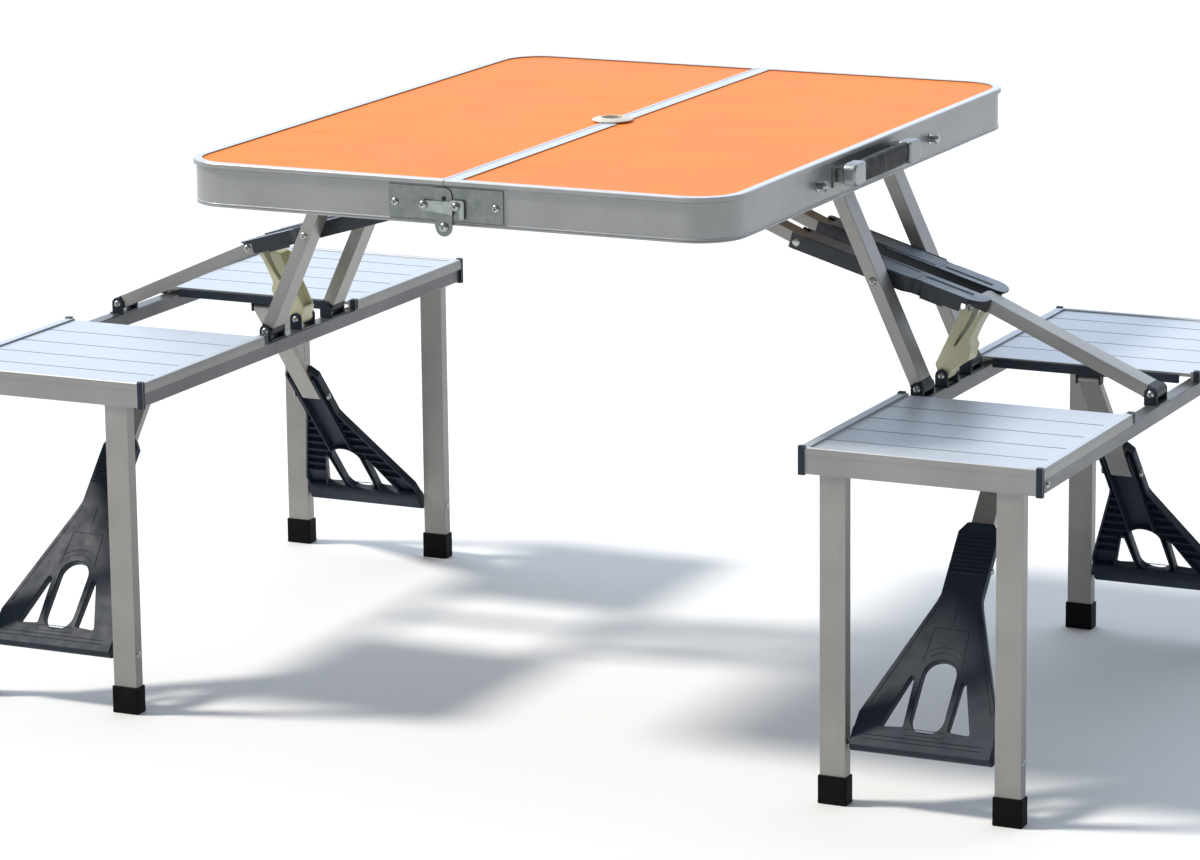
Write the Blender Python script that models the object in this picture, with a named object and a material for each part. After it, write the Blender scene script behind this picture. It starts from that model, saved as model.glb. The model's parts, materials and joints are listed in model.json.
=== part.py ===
"""Folding picnic table: two hinged table halves that close into a case, with four
seats on folding scissor frames. X crosses the centre seam, Y runs along it, Z is up,
and the origin is on the floor under the middle of the table."""

import math

import bmesh
import bpy
from mathutils import Matrix, Vector

# Table halves
HALF_X = 0.335
HALF_Y = 0.430
TOP_Z = 0.6600
RIM_BOTTOM_Z = 0.6105
CORNER_R = 0.055
RIM_LIP = 0.0035
RIM_WALL = 0.0055
RIM_FLANGE = 0.0100
SEAM_GAP = 0.0004
SEAM_WALL_X = 0.0042
SEAM_STRIP = {"left": 0.0045, "right": 0.0165}
HINGE_Z = 0.6080
STUD_Y = {"front": -0.175, "rear": 0.160}
STUD_Z = 0.6335
HANDLE_Y = (-0.1340, 0.0640)
HANDLE_CAP = 0.0330
SIDE_GAP = 0.0003
PANEL_TOP_Z = 0.6585
PANEL_THICK = 0.0040
POLE_HOLE_R = 0.0120
RING_COLLAR_R = 0.0148
RING_FLANGE_R = 0.0235
RING_CLEAR = 0.0009
RING_GAP_Y = 0.0215

# Latches on the front and rear rims, placed from the seam
LATCH_FACE = HALF_Y - RIM_LIP + 0.0003
LATCH_PLATE_Z = (0.6152, 0.6518)
LATCH_Z = 0.6320
LATCH_PIN_R = 0.0026
HOOK_X = -0.0240
CATCH_X = 0.0157

# Scissor frame, in the plane across the seam
LEG_LEAN = math.radians(24.6)
LEG_LENGTH = 0.2711
CROSS_FROM_SEAT = 0.1305
ARM_OUTER = 0.1039
SEAT_PIVOT = Vector((0.417, 0.3945))
OUTER_PIVOT = Vector((0.666, 0.3945))
BAR_PIVOT_X = 0.022
TUBE_W = 0.030
TUBE_H = 0.015
TUBE_WALL = 0.0015
LEG_Y = 0.075
BAR_THICK = 0.013
BAR_Y = (0.0235, 0.0485)
ROD_R = 0.0030

# Seat frames
SEAT_X = (0.404, 0.680)
SEAT_Y = (0.1110, 0.4000)
SEAT_MID_X = 0.5425
SEAT_TOP_Z = 0.3920
SEAT_SKIN = 0.0040
APRON_BOTTOM_Z = 0.3650
RAIL_INNER_X = (0.407, 0.425)
RAIL_OUTER_X = (0.660, 0.678)
RAIL_Z = (0.3650, 0.3820)
RAIL_END_Y = 0.3955
GROOVE_Y = (0.172, 0.233, 0.291, 0.348)
GROOVE_W = 0.0022
GROOVE_D = 0.0020

# Seat legs and their folding brace, in the plane along the seam
FOLD_Y = 0.390
FOLD_Z = 0.372
SEAT_LEG_X = ((0.427, 0.457), (0.628, 0.658))
FOOT_H = 0.032
BRACE_Z = 0.070
STAY_Y = 0.128
KNEE_SHARE = 0.55003
STAY_W = 0.026
FAN_HALF_W = 0.0815
FAN_NECK_U = (0.1830, 0.2730)
FAN_NECK_HALF_W = 0.0235
FAN_OVAL_U = (0.0350, 0.0860)
FAN_OVAL_R = 0.0190


def scissor_points():
    """The pivots of the scissor frame, so that it lies flat under the table when folded."""
    lean = Vector((-math.sin(LEG_LEAN), math.cos(LEG_LEAN)))
    top = SEAT_PIVOT + lean * LEG_LENGTH
    cross = SEAT_PIVOT + lean * CROSS_FROM_SEAT
    reach = OUTER_PIVOT.x - SEAT_PIVOT.x
    tube = reach - CROSS_FROM_SEAT + ARM_OUTER
    span = OUTER_PIVOT - cross
    cosine = (ARM_OUTER**2 + span.length_squared - tube**2) / (2 * ARM_OUTER * span.length)
    drop = math.atan2(-span.y, span.x) - math.acos(cosine)
    outward = Vector((math.cos(drop), -math.sin(drop)))
    knuckle = cross + outward * ARM_OUTER
    root = Vector((BAR_PIVOT_X, top.y))
    folded = top.x - (LEG_LENGTH - CROSS_FROM_SEAT) - root.x
    back = cross - root
    inner = (folded**2 - back.length_squared) / (2 * (-back.dot(outward) - folded))
    link = cross - outward * inner
    return {"top": top, "cross": cross, "knuckle": knuckle, "root": root, "link": link,
            "drop": drop, "inner": inner}


SCISSOR = scissor_points()


def start_clean():
    for obj in list(bpy.data.objects):
        bpy.data.objects.remove(obj, do_unlink=True)


def new_collection(name):
    group = bpy.data.collections.new(name)
    bpy.context.scene.collection.children.link(group)
    return group


def new_material(name, colour, roughness, metallic):
    mat = bpy.data.materials.new(name)
    mat.use_nodes = True
    shader = mat.node_tree.nodes["Principled BSDF"]
    shader.inputs["Base Color"].default_value = (*colour, 1.0)
    shader.inputs["Roughness"].default_value = roughness
    shader.inputs["Metallic"].default_value = metallic
    mat.diffuse_color = (*colour, 1.0)
    return mat


def from_bmesh(name, bm, mat, group):
    bmesh.ops.remove_doubles(bm, verts=bm.verts, dist=1e-6)
    bmesh.ops.recalc_face_normals(bm, faces=bm.faces)
    mesh = bpy.data.meshes.new(name)
    bm.to_mesh(mesh)
    bm.free()
    mesh.materials.append(mat)
    obj = bpy.data.objects.new(name, mesh)
    group.objects.link(obj)
    return obj


def add_box(bm, x, y, z, bevel=0.0):
    """A box between two corners, its long edges softened if a bevel is given."""
    size = Vector((x[1] - x[0], y[1] - y[0], z[1] - z[0]))
    middle = Vector((x[0] + x[1], y[0] + y[1], z[0] + z[1])) / 2
    made = bmesh.ops.create_cube(bm, size=1.0)
    verts = made["verts"]
    bmesh.ops.scale(bm, vec=size, verts=verts)
    bmesh.ops.translate(bm, vec=middle, verts=verts)
    if bevel:
        along = max(range(3), key=lambda i: size[i])
        edges = {e for v in verts for e in v.link_edges}
        edges = [e for e in edges if abs((e.verts[0].co - e.verts[1].co)[along]) > size[along] * 0.5]
        bmesh.ops.bevel(bm, geom=edges, offset=bevel, segments=1, affect="EDGES")


def box(name, x, y, z, mat, group, bevel=0.0):
    bm = bmesh.new()
    add_box(bm, x, y, z, bevel)
    return from_bmesh(name, bm, mat, group)


def arc(centre, radius, start, end, steps):
    """Points on an arc in a plane, from one angle in degrees to another."""
    turn = [math.radians(start + (end - start) * i / steps) for i in range(steps + 1)]
    return [(centre[0] + radius * math.cos(t), centre[1] + radius * math.sin(t)) for t in turn]


def prism(name, outline, axis, low, high, mat, group):
    """A flat outline pushed along an axis. It is (x, z) along Y, (y, z) along X, (x, y) along Z."""
    curve = bpy.data.curves.new(name, "CURVE")
    curve.dimensions = "2D"
    curve.fill_mode = "BOTH"
    curve.extrude = (high - low) / 2
    spline = curve.splines.new("POLY")
    spline.points.add(len(outline) - 1)
    for point, (u, v) in zip(spline.points, outline):
        point.co = (u, v, 0.0, 1.0)
    spline.use_cyclic_u = True
    flat = bpy.data.objects.new(name, curve)
    group.objects.link(flat)
    turn = {"X": ((0, 0, 1), (1, 0, 0), (0, 1, 0)), "Y": ((1, 0, 0), (0, 0, 1), (0, 1, 0)),
            "Z": ((1, 0, 0), (0, 1, 0), (0, 0, 1))}[axis]
    place = Matrix(turn).to_4x4()
    place.translation = Vector([(high + low) / 2 if row[2] else 0.0 for row in turn])
    bm = bmesh.new()
    bpy.context.view_layer.update()
    bm.from_mesh(bpy.data.meshes.new_from_object(flat.evaluated_get(bpy.context.evaluated_depsgraph_get())))
    bmesh.ops.transform(bm, matrix=place, verts=bm.verts)
    bpy.data.objects.remove(flat, do_unlink=True)
    return from_bmesh(name, bm, mat, group)


def combine(target, others, operation="UNION"):
    """Joins solids to a target, or cuts them from it, and keeps the result as its mesh."""
    for other in others:
        step = target.modifiers.new(operation.title(), "BOOLEAN")
        step.object = other
        step.operation = operation
        step.solver = "EXACT"
    bpy.context.view_layer.update()
    seen = target.evaluated_get(bpy.context.evaluated_depsgraph_get())
    mesh = bpy.data.meshes.new_from_object(seen)
    target.modifiers.clear()
    target.data = mesh
    for other in others:
        bpy.data.objects.remove(other, do_unlink=True)
    return target


def cut(target, others):
    return combine(target, others, "DIFFERENCE")


def mirrored_mesh(source, axis="X"):
    mesh = source.data.copy()
    mesh.transform(Matrix.Scale(-1, 4, Vector((1, 0, 0) if axis == "X" else (0, 1, 0))))
    mesh.flip_normals()
    return mesh


def mirrored(source, name, axis):
    """A copy of a piece on the far side of the X or Y centre plane."""
    copy = source.copy()
    copy.data = mirrored_mesh(source, axis)
    copy.name = name
    copy.data.name = name
    for group in source.users_collection:
        group.objects.link(copy)
    return copy


def swept_rim(name, mat, group):
    """The outer wall of one table half: its section runs along the front, side and rear."""
    face = -RIM_LIP
    bead = face + 0.0010
    section = [
        (-RIM_FLANGE, TOP_Z - 0.0012), (-RIM_FLANGE, TOP_Z), (-0.0010, TOP_Z), (0.0, TOP_Z - 0.0010),
        (0.0, 0.6545), (face, 0.6530), (face, 0.6148), (bead, 0.6143), (bead, 0.6132), (face, 0.6127),
        (bead, 0.6122), (bead, RIM_BOTTOM_Z), (-RIM_WALL, RIM_BOTTOM_Z), (-RIM_WALL, TOP_Z - 0.0012),
    ]
    bm = bmesh.new()
    ring = [bm.verts.new((SEAM_GAP, -HALF_Y - out, z)) for out, z in section]
    edges = [bm.edges.new((ring[i], ring[(i + 1) % len(ring)])) for i in range(len(ring))]

    def run(step):
        grown = bmesh.ops.extrude_edge_only(bm, edges=edges)["geom"]
        verts = [g for g in grown if isinstance(g, bmesh.types.BMVert)]
        bmesh.ops.translate(bm, vec=step, verts=verts)
        return [g for g in grown if isinstance(g, bmesh.types.BMEdge)]

    def turn(centre):
        spun = bmesh.ops.spin(bm, geom=edges, cent=centre, axis=(0, 0, 1), angle=math.pi / 2,
                              steps=6, use_merge=False)["geom_last"]
        return [g for g in spun if isinstance(g, bmesh.types.BMEdge)]

    side = HALF_X - CORNER_R
    end = HALF_Y - CORNER_R
    edges = run((side - SEAM_GAP, 0, 0))
    edges = turn((side, -end, 0))
    edges = run((0, 2 * end, 0))
    edges = turn((side, end, 0))
    run((SEAM_GAP - side, 0, 0))
    bmesh.ops.holes_fill(bm, edges=bm.edges, sides=0)
    return from_bmesh(name, bm, mat, group)


def table_frame(strip_width, mats, group):
    """The rim of the right half with its seam bar, which stops short of the pole ring."""
    metal = mats["aluminium"]
    rim = swept_rim("table_frame_right", metal, group)
    inside = HALF_Y - RIM_WALL + 0.0010
    wall = box("seam_wall", (SEAM_GAP + 0.0002, SEAM_WALL_X), (-inside, inside),
               (RIM_BOTTOM_Z + 0.0001, TOP_Z - 0.0006), metal, group)
    reach = HALF_Y - RIM_FLANGE + 0.0010
    strip = box("seam_strip", (SEAM_GAP + 0.0002, strip_width), (-reach, reach),
                (TOP_Z - 0.0012, TOP_Z - 0.0001), metal, group)
    combine(rim, [wall, strip])
    gap = box("ring_gap", (-0.01, strip_width + 0.01), (-RING_GAP_Y, RING_GAP_Y), (0.60, 0.68), metal,
              group)
    return cut(rim, [gap])


def case_stud(name, y, mats, group):
    """A mushroom-headed stud on the side wall, turned about X."""
    profile = [(0.0, SIDE_GAP), (0.0034, SIDE_GAP), (0.0034, 0.0080), (0.0058, 0.0085), (0.0058, 0.0100),
               (0.0035, 0.0116), (0.0, 0.0116)]
    bm = bmesh.new()
    verts = [bm.verts.new((HALF_X - RIM_LIP + out, y, STUD_Z + r)) for r, out in profile]
    edges = [bm.edges.new(pair) for pair in zip(verts, verts[1:])]
    bmesh.ops.spin(bm, geom=edges, cent=(0, y, STUD_Z), axis=(1, 0, 0), angle=math.tau, steps=10,
                   use_merge=True)
    return from_bmesh(name, bm, mats["zinc"], group)


def table_panel(mats, group):
    """The laminate board of the right half, notched at the seam for the pole ring."""
    inner = SEAM_WALL_X + 0.0004
    out_x = HALF_X - RIM_WALL - 0.0004
    out_y = HALF_Y - RIM_WALL - 0.0004
    r = CORNER_R - RIM_WALL - 0.0004
    notch_r = RING_COLLAR_R + RING_CLEAR
    half = math.degrees(math.acos(inner / notch_r))
    outline = [(inner, -out_y)]
    outline += arc((out_x - r, -out_y + r), r, -90, 0, 6)
    outline += arc((out_x - r, out_y - r), r, 0, 90, 6)
    outline += [(inner, out_y)]
    outline += arc((0, 0), notch_r, half, -half, 10)
    return prism("table_panel_right", outline, "Z", PANEL_TOP_Z - PANEL_THICK, PANEL_TOP_Z,
                 mats["laminate"], group)


def pole_ring(mats, group):
    """Half of the turned plastic ring that lines the umbrella pole hole."""
    profile = [(POLE_HOLE_R, 0.6400), (RING_COLLAR_R, 0.6400), (RING_COLLAR_R, TOP_Z + 0.0003),
               (RING_FLANGE_R, TOP_Z + 0.0003), (RING_FLANGE_R - 0.0010, TOP_Z + 0.0020),
               (POLE_HOLE_R + 0.0020, TOP_Z + 0.0040), (POLE_HOLE_R, TOP_Z + 0.0040)]
    bm = bmesh.new()
    verts = [bm.verts.new((SEAM_GAP, -r, z)) for r, z in profile]
    edges = [bm.edges.new((verts[i], verts[(i + 1) % len(verts)])) for i in range(len(verts))]
    bmesh.ops.spin(bm, geom=edges, cent=(SEAM_GAP, 0, 0), axis=(0, 0, 1), angle=math.pi, steps=14)
    bmesh.ops.holes_fill(bm, edges=bm.edges, sides=0)
    return from_bmesh("pole_ring_right", bm, mats["cream"], group)


def pivot_plate(mats, group):
    """The steel plate under the panel, with ears for the main legs and the link bars."""
    z = (0.6522, 0.6541)
    steel = mats["steel"]
    base = box("pivot_plate_right", (0.284, 0.3265), (-0.0930, 0.0930), z, steel, group)
    pieces = []
    p = SCISSOR
    for side in (-1, 1):
        strip = sorted((side * 0.0180, side * 0.0515))
        pieces.append(box("strip", (0.0125, 0.2860), strip, (z[0] + 0.0001, z[1] - 0.0001), steel, group))
        for centre, low, high in ((p["top"], 0.0577, 0.0595), (p["top"], 0.0905, 0.0923),
                                  (p["root"], 0.0212, 0.0230), (p["root"], 0.0490, 0.0508)):
            x, zc = centre
            ear = [(x + 0.0085, z[1] - 0.0004), (x - 0.0085, z[1] - 0.0004)]
            ear += arc((x, zc), 0.0070, 180, 360, 6)
            low_y, high_y = sorted((side * low, side * high))
            pieces.append(prism("ear", ear, "Y", low_y, high_y, steel, group))
    combine(base, pieces)
    hole = prism("rod_hole", arc(tuple(p["root"]), ROD_R + 0.0004, 0, 330, 11), "Y", -0.0300, 0.0300, steel,
                 group)
    return cut(base, [hole])


def link_outline(start, end, half):
    """The outline of a bar with round ends, from one pivot to another in its plane."""
    angle = math.degrees(math.atan2(end[1] - start[1], end[0] - start[0]))
    return arc(end, half, angle - 90, angle + 90, 6) + arc(start, half, angle + 90, angle + 270, 6)


def link_bore(start, end, half, y, mats, group):
    """A cutter that hollows a bar along its length and leaves both ends open."""
    along = (Vector(end) - Vector(start)).normalized()
    up = Vector((-along.y, along.x)) * half
    ends = (Vector(start) - along * 0.03, Vector(end) + along * 0.03)
    corners = [ends[0] - up, ends[1] - up, ends[1] + up, ends[0] + up]
    return prism("bore", [tuple(c) for c in corners], "Y", *y, mats["aluminium"], group)


def main_leg(mats, group):
    start, end = tuple(SEAT_PIVOT), tuple(SCISSOR["top"])
    half = TUBE_W / 2
    leg = prism("main_leg_front_right", link_outline(start, end, TUBE_H / 2), "Y", -LEG_Y - half,
                -LEG_Y + half, mats["aluminium"], group)
    inner = half - TUBE_WALL
    bore = link_bore(start, end, TUBE_H / 2 - TUBE_WALL, (-LEG_Y - inner, -LEG_Y + inner), mats, group)
    return cut(leg, [bore])


def link_bars(mats, group):
    """The pair of link bars, joined by the rod on which they turn under the table."""
    start, end = tuple(SCISSOR["root"]), tuple(SCISSOR["link"])
    front = prism("link_bars_right", link_outline(start, end, BAR_THICK / 2), "Y", -BAR_Y[1], -BAR_Y[0],
                  mats["aluminium"], group)
    inner = (-BAR_Y[1] + TUBE_WALL, -BAR_Y[0] - TUBE_WALL)
    cut(front, [link_bore(start, end, BAR_THICK / 2 - TUBE_WALL, inner, mats, group)])
    rear = mirrored(front, "rear", "Y")
    rod = prism("rod", arc(tuple(SCISSOR["root"]), ROD_R, 0, 330, 11), "Y", -BAR_Y[0] - 0.005,
                BAR_Y[0] + 0.005, mats["steel"], group)
    return combine(front, [rear, rod])


def scissor_arm(mats, group):
    """The plastic arm: a channel that is open below, with a slotted top and a rounded nose."""
    dark = mats["slate"]
    inner = SCISSOR["inner"]
    plan = [(-inner - 0.0085, -0.0205), (-0.0320, -0.0205), (-0.0300, -0.0165)]
    plan += [(ARM_OUTER + 0.0070, -0.0165), (ARM_OUTER + 0.0135, -0.0200)]
    plan += arc((ARM_OUTER - 0.0080, -0.0310), 0.0220, 0, -80, 5)
    plan += [(0.0480, -0.0530), (0.0420, -0.0515), (0.0340, -0.0525), (0.0250, -0.0585)]
    plan += [(-inner - 0.0060, -0.0585), (-inner - 0.0085, -0.0560)]
    arm = prism("arm_front_right", plan, "Z", -0.0085, 0.0092, dark, group)
    cavity = [(-inner - 0.02, -0.0232), (-0.0280, -0.0232), (-0.0240, -0.0192), (ARM_OUTER + 0.03, -0.0192),
              (ARM_OUTER + 0.03, -0.0490), (-inner - 0.02, -0.0490)]
    hollow = prism("hollow", cavity, "Z", -0.03, 0.0070, dark, group)
    mouth = box("mouth", (-inner - 0.03, -inner + 0.0034), (-0.0490, -0.0232), (0.0, 0.03), dark, group)
    slot = box("slot", (0.0400, 0.0980), (-0.0311, -0.0290), (0.0, 0.03), dark, group)
    trim = box("trim", (0.0940, ARM_OUTER + 0.03), (-0.0600, -0.0192), (-0.03, 0.0045), dark, group)
    cut(arm, [hollow, mouth, slot, trim])
    step = box("step", (0.0455, 0.0740), (-0.0530, -0.0505), (-0.0105, -0.0080), dark, group)
    combine(arm, [step])
    tilt = Matrix.Rotation(SCISSOR["drop"], 4, "Y")
    arm.data.transform(Matrix.Translation((SCISSOR["cross"].x, 0, SCISSOR["cross"].y)) @ tilt)
    return arm


def outer_tube(mats, group):
    """The strut from the seat's outer rail: a channel open below, so the lock lever can nest in it."""
    start, end = SCISSOR["knuckle"], OUTER_PIVOT
    half = TUBE_H / 2
    tube = prism("outer_brace_right", link_outline(tuple(start), tuple(end), half), "Y",
                 -TUBE_W / 2, TUBE_W / 2, mats["aluminium"], group)
    along = (end - start).normalized()
    up = Vector((-along.y, along.x))
    corners = [(-0.03, -0.02), (0.2300, -0.02), (0.2300, half - 0.0015), (-0.03, half - 0.0015)]
    inside = [tuple(start + along * a + up * b) for a, b in corners]
    wall = TUBE_W / 2 - 0.0012
    return cut(tube, [prism("inside", inside, "Y", -wall, wall, mats["aluminium"], group)])


def lock_lever(mats, group):
    """The sprung plastic lever that props the scissor open, with a long slot and a thumb hook."""
    start = SEAT_PIVOT
    along = (SCISSOR["knuckle"] - start).normalized()
    left = Vector((-along.y, along.x))
    shape = [(-0.0046, -0.0046), (0.0, -0.0065), (0.0110, -0.0070), (0.0210, -0.0122), (0.0310, -0.0188),
             (0.0400, -0.0165), (0.0470, -0.0150), (0.0505, -0.0100), (0.0580, -0.0092), (0.0700, -0.0088),
             (0.0820, -0.0094), (0.0915, -0.0110), (0.0920, -0.0045), (0.0800, -0.0035), (0.0620, -0.0018),
             (0.0480, 0.0008), (0.0380, 0.0020), (0.0370, 0.0044), (0.0480, 0.0048), (0.0620, 0.0030),
             (0.0780, 0.0024), (0.0870, 0.0036), (0.0850, 0.0100), (0.0790, 0.0158), (0.0072, 0.0140),
             (0.0, 0.0070), (-0.0050, 0.0050), (-0.0068, 0.0)]
    outline = [tuple(start + along * a + left * b) for a, b in shape]
    lever = prism("lock_lever_right", outline, "Y", -0.0135, 0.0135, mats["cream"], group)
    pocket = [(0.0100, 0.0080), (0.0400, 0.0080), (0.0400, 0.0300), (0.0100, 0.0300)]
    upper = [(0.0430, 0.0080), (0.0800, 0.0080), (0.0800, 0.0300), (0.0430, 0.0300)]
    cells = [prism("cell", [tuple(start + along * a + left * b) for a, b in part], "Y", -0.0115, 0.0115,
                   mats["cream"], group) for part in (pocket, upper)]
    return cut(lever, cells)


def seat_rails(mats, group):
    rails = []
    for name, x in (("inner_rail_right", RAIL_INNER_X), ("outer_rail_right", RAIL_OUTER_X)):
        rail = box(name, x, (-RAIL_END_Y, RAIL_END_Y), RAIL_Z, mats["aluminium_dark"], group, 0.0012)
        bore = box("bore", (x[0] + TUBE_WALL, x[1] - TUBE_WALL), (-RAIL_END_Y - 0.01, RAIL_END_Y + 0.01),
                   (RAIL_Z[0] + TUBE_WALL, RAIL_Z[1] - TUBE_WALL), mats["aluminium_dark"], group)
        rails.append(cut(rail, [bore]))
    return rails


def clevis(name, x, y, foot_x, mats, group):
    """A forked plastic bracket that stands on a rail and carries one pivot."""
    low = RAIL_Z[1] + 0.0003
    z = SEAT_PIVOT.y
    base = box(name, foot_x, (y - 0.0178, y + 0.0178), (low, low + 0.0020), mats["slate"], group)
    cheek = [(x + 0.0075, low + 0.0010), (x + 0.0075, z)] + arc((x, z), 0.0075, 0, 180, 6)[1:-1]
    cheek += [(x - 0.0075, z), (x - 0.0075, low + 0.0010)]
    sides = [prism("cheek", cheek, "Y", y + a, y + b, mats["slate"], group)
             for a, b in ((-0.0178, -0.0153), (0.0153, 0.0178))]
    return combine(base, sides)


def rail_clevis(rail, x, foot_x, mats, group):
    """Joins the clevis in the middle of a rail to it."""
    fork = clevis("fork", x, 0.0, foot_x, mats, group)
    fork.data.transform(Matrix.Translation((0, 0, -0.0008)))
    return combine(rail, [fork])


def seat_deck(mats, group):
    """The slatted seat: planks with an apron, side trims, end caps, inner beam and stay bracket."""
    alu, dark = mats["seat"], mats["slate"]
    inner_y, outer_y = SEAT_Y
    top = SEAT_TOP_Z
    under = top - SEAT_SKIN
    section = [(-outer_y, APRON_BOTTOM_Z), (-outer_y + 0.0022, APRON_BOTTOM_Z), (-outer_y + 0.0022, under),
               (-inner_y - 0.0020, under), (-inner_y - 0.0020, top)]
    for y in GROOVE_Y:
        section += [(-y + GROOVE_W / 2, top), (-y + GROOVE_W / 2, top - GROOVE_D),
                    (-y - GROOVE_W / 2, top - GROOVE_D), (-y - GROOVE_W / 2, top)]
    section += [(-outer_y + 0.0040, top), (-outer_y + 0.0030, top + 0.0020),
                (-outer_y + 0.0008, top + 0.0020), (-outer_y, top + 0.0010)]
    deck = prism("seat_deck_front_right", section, "X", SEAT_X[0] + 0.0065, SEAT_X[1] - 0.0065, alu, group)
    parts = []
    for x in ((SEAT_X[0] + 0.0002, SEAT_X[0] + 0.0108), (SEAT_X[1] - 0.0108, SEAT_X[1] - 0.0002)):
        y = (-outer_y + 0.0010, -inner_y - 0.0010)
        parts.append(box("side_trim", x, y, (0.3823, 0.3942), alu, group))
    for x in ((SEAT_X[0] - 0.0006, SEAT_X[0] + 0.0072), (SEAT_X[1] - 0.0072, SEAT_X[1] + 0.0006)):
        parts.append(box("end_cap", x, (-outer_y - 0.0010, -0.3962), (0.3635, 0.3956), dark, group))
        y = (-inner_y - 0.0060, -inner_y + 0.0010)
        parts.append(box("corner_cap", x, y, (0.3824, 0.3956), dark, group))
    y = (-inner_y - 0.0035, -inner_y + 0.0005)
    parts.append(box("beam", (0.4300, 0.6550), y, (0.3803, top - 0.0025), dark, group))
    for side in (-1, 1):
        x = sorted((SEAT_MID_X + side * 0.0133, SEAT_MID_X + side * 0.0150))
        ear = [(-STAY_Y + 0.0070, under + 0.0010), (-STAY_Y + 0.0050, 0.3670), (-STAY_Y - 0.0050, 0.3670),
               (-STAY_Y - 0.0070, under + 0.0010)]
        parts.append(prism("stay_ear", ear, "X", *x, dark, group))
    return combine(deck, parts)


def seat_leg(name, x, mats, group):
    """A seat leg with a round upper end on its fold axis, and a rubber foot."""
    z = FOLD_Z
    outline = [(-FOLD_Y - TUBE_H / 2, 0.0040), (-FOLD_Y + TUBE_H / 2, 0.0040), (-FOLD_Y + TUBE_H / 2, z)]
    outline += arc((-FOLD_Y, z), TUBE_H / 2, 0, 180, 6)[1:-1] + [(-FOLD_Y - TUBE_H / 2, z)]
    leg = prism(name, outline, "X", *x, mats["aluminium"], group)
    inner = TUBE_H / 2 - TUBE_WALL
    bore = box("bore", (x[0] + TUBE_WALL, x[1] - TUBE_WALL), (-FOLD_Y - inner, -FOLD_Y + inner),
               (FOOT_H - 0.002, z + 0.02), mats["aluminium"], group)
    cut(leg, [bore])
    y = (-FOLD_Y - TUBE_H / 2 - 0.0015, -FOLD_Y + TUBE_H / 2 + 0.0015)
    foot = box("foot", (x[0] - 0.0015, x[1] + 0.0015), y, (0.0, FOOT_H), mats["rubber"], group, 0.0015)
    return combine(leg, [foot])


def brace_lines():
    """The lower pivot, knee and upper pivot of the front seat brace in (y, z)."""
    low = Vector((-FOLD_Y, BRACE_Z))
    high = Vector((-STAY_Y, FOLD_Z))
    return low, low + (high - low) * KNEE_SHARE, high


def fan_brace(mats, group):
    """The plastic fan between two seat legs: holes through it, and a channel for the folded stay."""
    low, knee, high = brace_lines()
    reach = (knee - low).length
    dark = mats["slate"]
    root, tip = FAN_NECK_U
    half = [(-0.0060, FAN_HALF_W), (0.0340, 0.0795), (root - 0.0090, 0.0260), (root, FAN_NECK_HALF_W)]
    half += [(tip - 0.0120, FAN_NECK_HALF_W), (tip, 0.0155)]
    outline = [(w, u) for u, w in half] + [(-w, u) for u, w in reversed(half)]
    fan = prism("fan_brace_front_right", outline, "Z", -0.0015, 0.0084, dark, group)
    slab = link_outline((0.0, 0.0), (0.0130, 0.0006), 0.0078)
    bar = prism("bottom_bar", [(u, t) for u, t in slab], "X", -FAN_HALF_W, FAN_HALF_W, dark, group)
    half_stay = STAY_W / 2 + 0.0023
    rails = []
    for side in (-1, 1):
        x = sorted((side * half_stay, side * FAN_NECK_HALF_W))
        rails.append(box("neck_rail", x, (reach - 0.0260, tip - 0.0140), (-0.0060, 0.0060), dark, group))
    oval = arc((0.0, FAN_OVAL_U[1]), FAN_OVAL_R, 0, 180, 8)
    oval += arc((0.0, FAN_OVAL_U[0]), FAN_OVAL_R, 180, 360, 8)
    cuts = [prism("oval", oval, "Z", -0.03, 0.03, dark, group)]
    for side in (-1, 1):
        window = [(side * 0.0280, 0.0910), (side * 0.0257, 0.0225), (side * 0.0505, 0.0205)]
        cuts.append(prism("window", window, "Z", -0.03, 0.03, dark, group))
    cuts.append(box("channel", (-half_stay, half_stay), (0.0110, tip + 0.05), (-0.03, 0.0055), dark, group))
    combine(fan, [bar] + rails)
    cut(fan, cuts)
    slope = math.atan2((high - low).y, (high - low).x)
    place = Matrix.Translation((SEAT_MID_X, low.x, low.y)) @ Matrix.Rotation(slope, 4, "X")
    fan.data.transform(place)
    return fan


def brace_stay(mats, group):
    low, knee, high = brace_lines()
    x = (SEAT_MID_X - STAY_W / 2, SEAT_MID_X + STAY_W / 2)
    return prism("brace_stay_front_right", link_outline(tuple(knee), tuple(high), 0.0048), "X", *x,
                 mats["aluminium"], group)


def handle_cap(end, way, z, mats, group):
    """The cap at one end of the grip, round at its outer corners, with its post and pad."""
    satin = mats["satin"]
    r = 0.0085
    reach = end + way * HANDLE_CAP
    middle = (end + reach) / 2
    start = 90 + way * 90
    outline = [(reach, z[0]), (reach, z[1])]
    outline += arc((end + way * r, z[1] - r), r, 90, start, 5)
    outline += arc((end + way * r, z[0] + r), r, start, start + way * 90, 5)
    cap = prism("cap", outline, "X", 0.3440, 0.3590, satin, group)
    post = box("post", (0.3330, 0.3460), (middle - 0.0085, middle + 0.0085), (0.6290, 0.6460), satin, group)
    pad = box("pad", (0.3318, 0.3338), (middle - 0.0170, middle + 0.0150), (0.6245, 0.6465), satin, group)
    return [cap, post, pad]


def carry_handle(mats, group):
    """The case handle on the right rim: a grip between two metal caps on posts."""
    y0, y1 = HANDLE_Y
    z = (0.6262, 0.6520)
    grip_y = (y0 + HANDLE_CAP - 0.0020, y1 - HANDLE_CAP + 0.0020)
    grip_z = (z[0] + 0.0010, z[1] - 0.0010)
    handle = box("carry_handle", (0.3455, 0.3575), grip_y, grip_z, mats["grip"], group, 0.0035)
    return combine(handle, handle_cap(y0, 1, z, mats, group) + handle_cap(y1, -1, z, mats, group))


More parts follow.
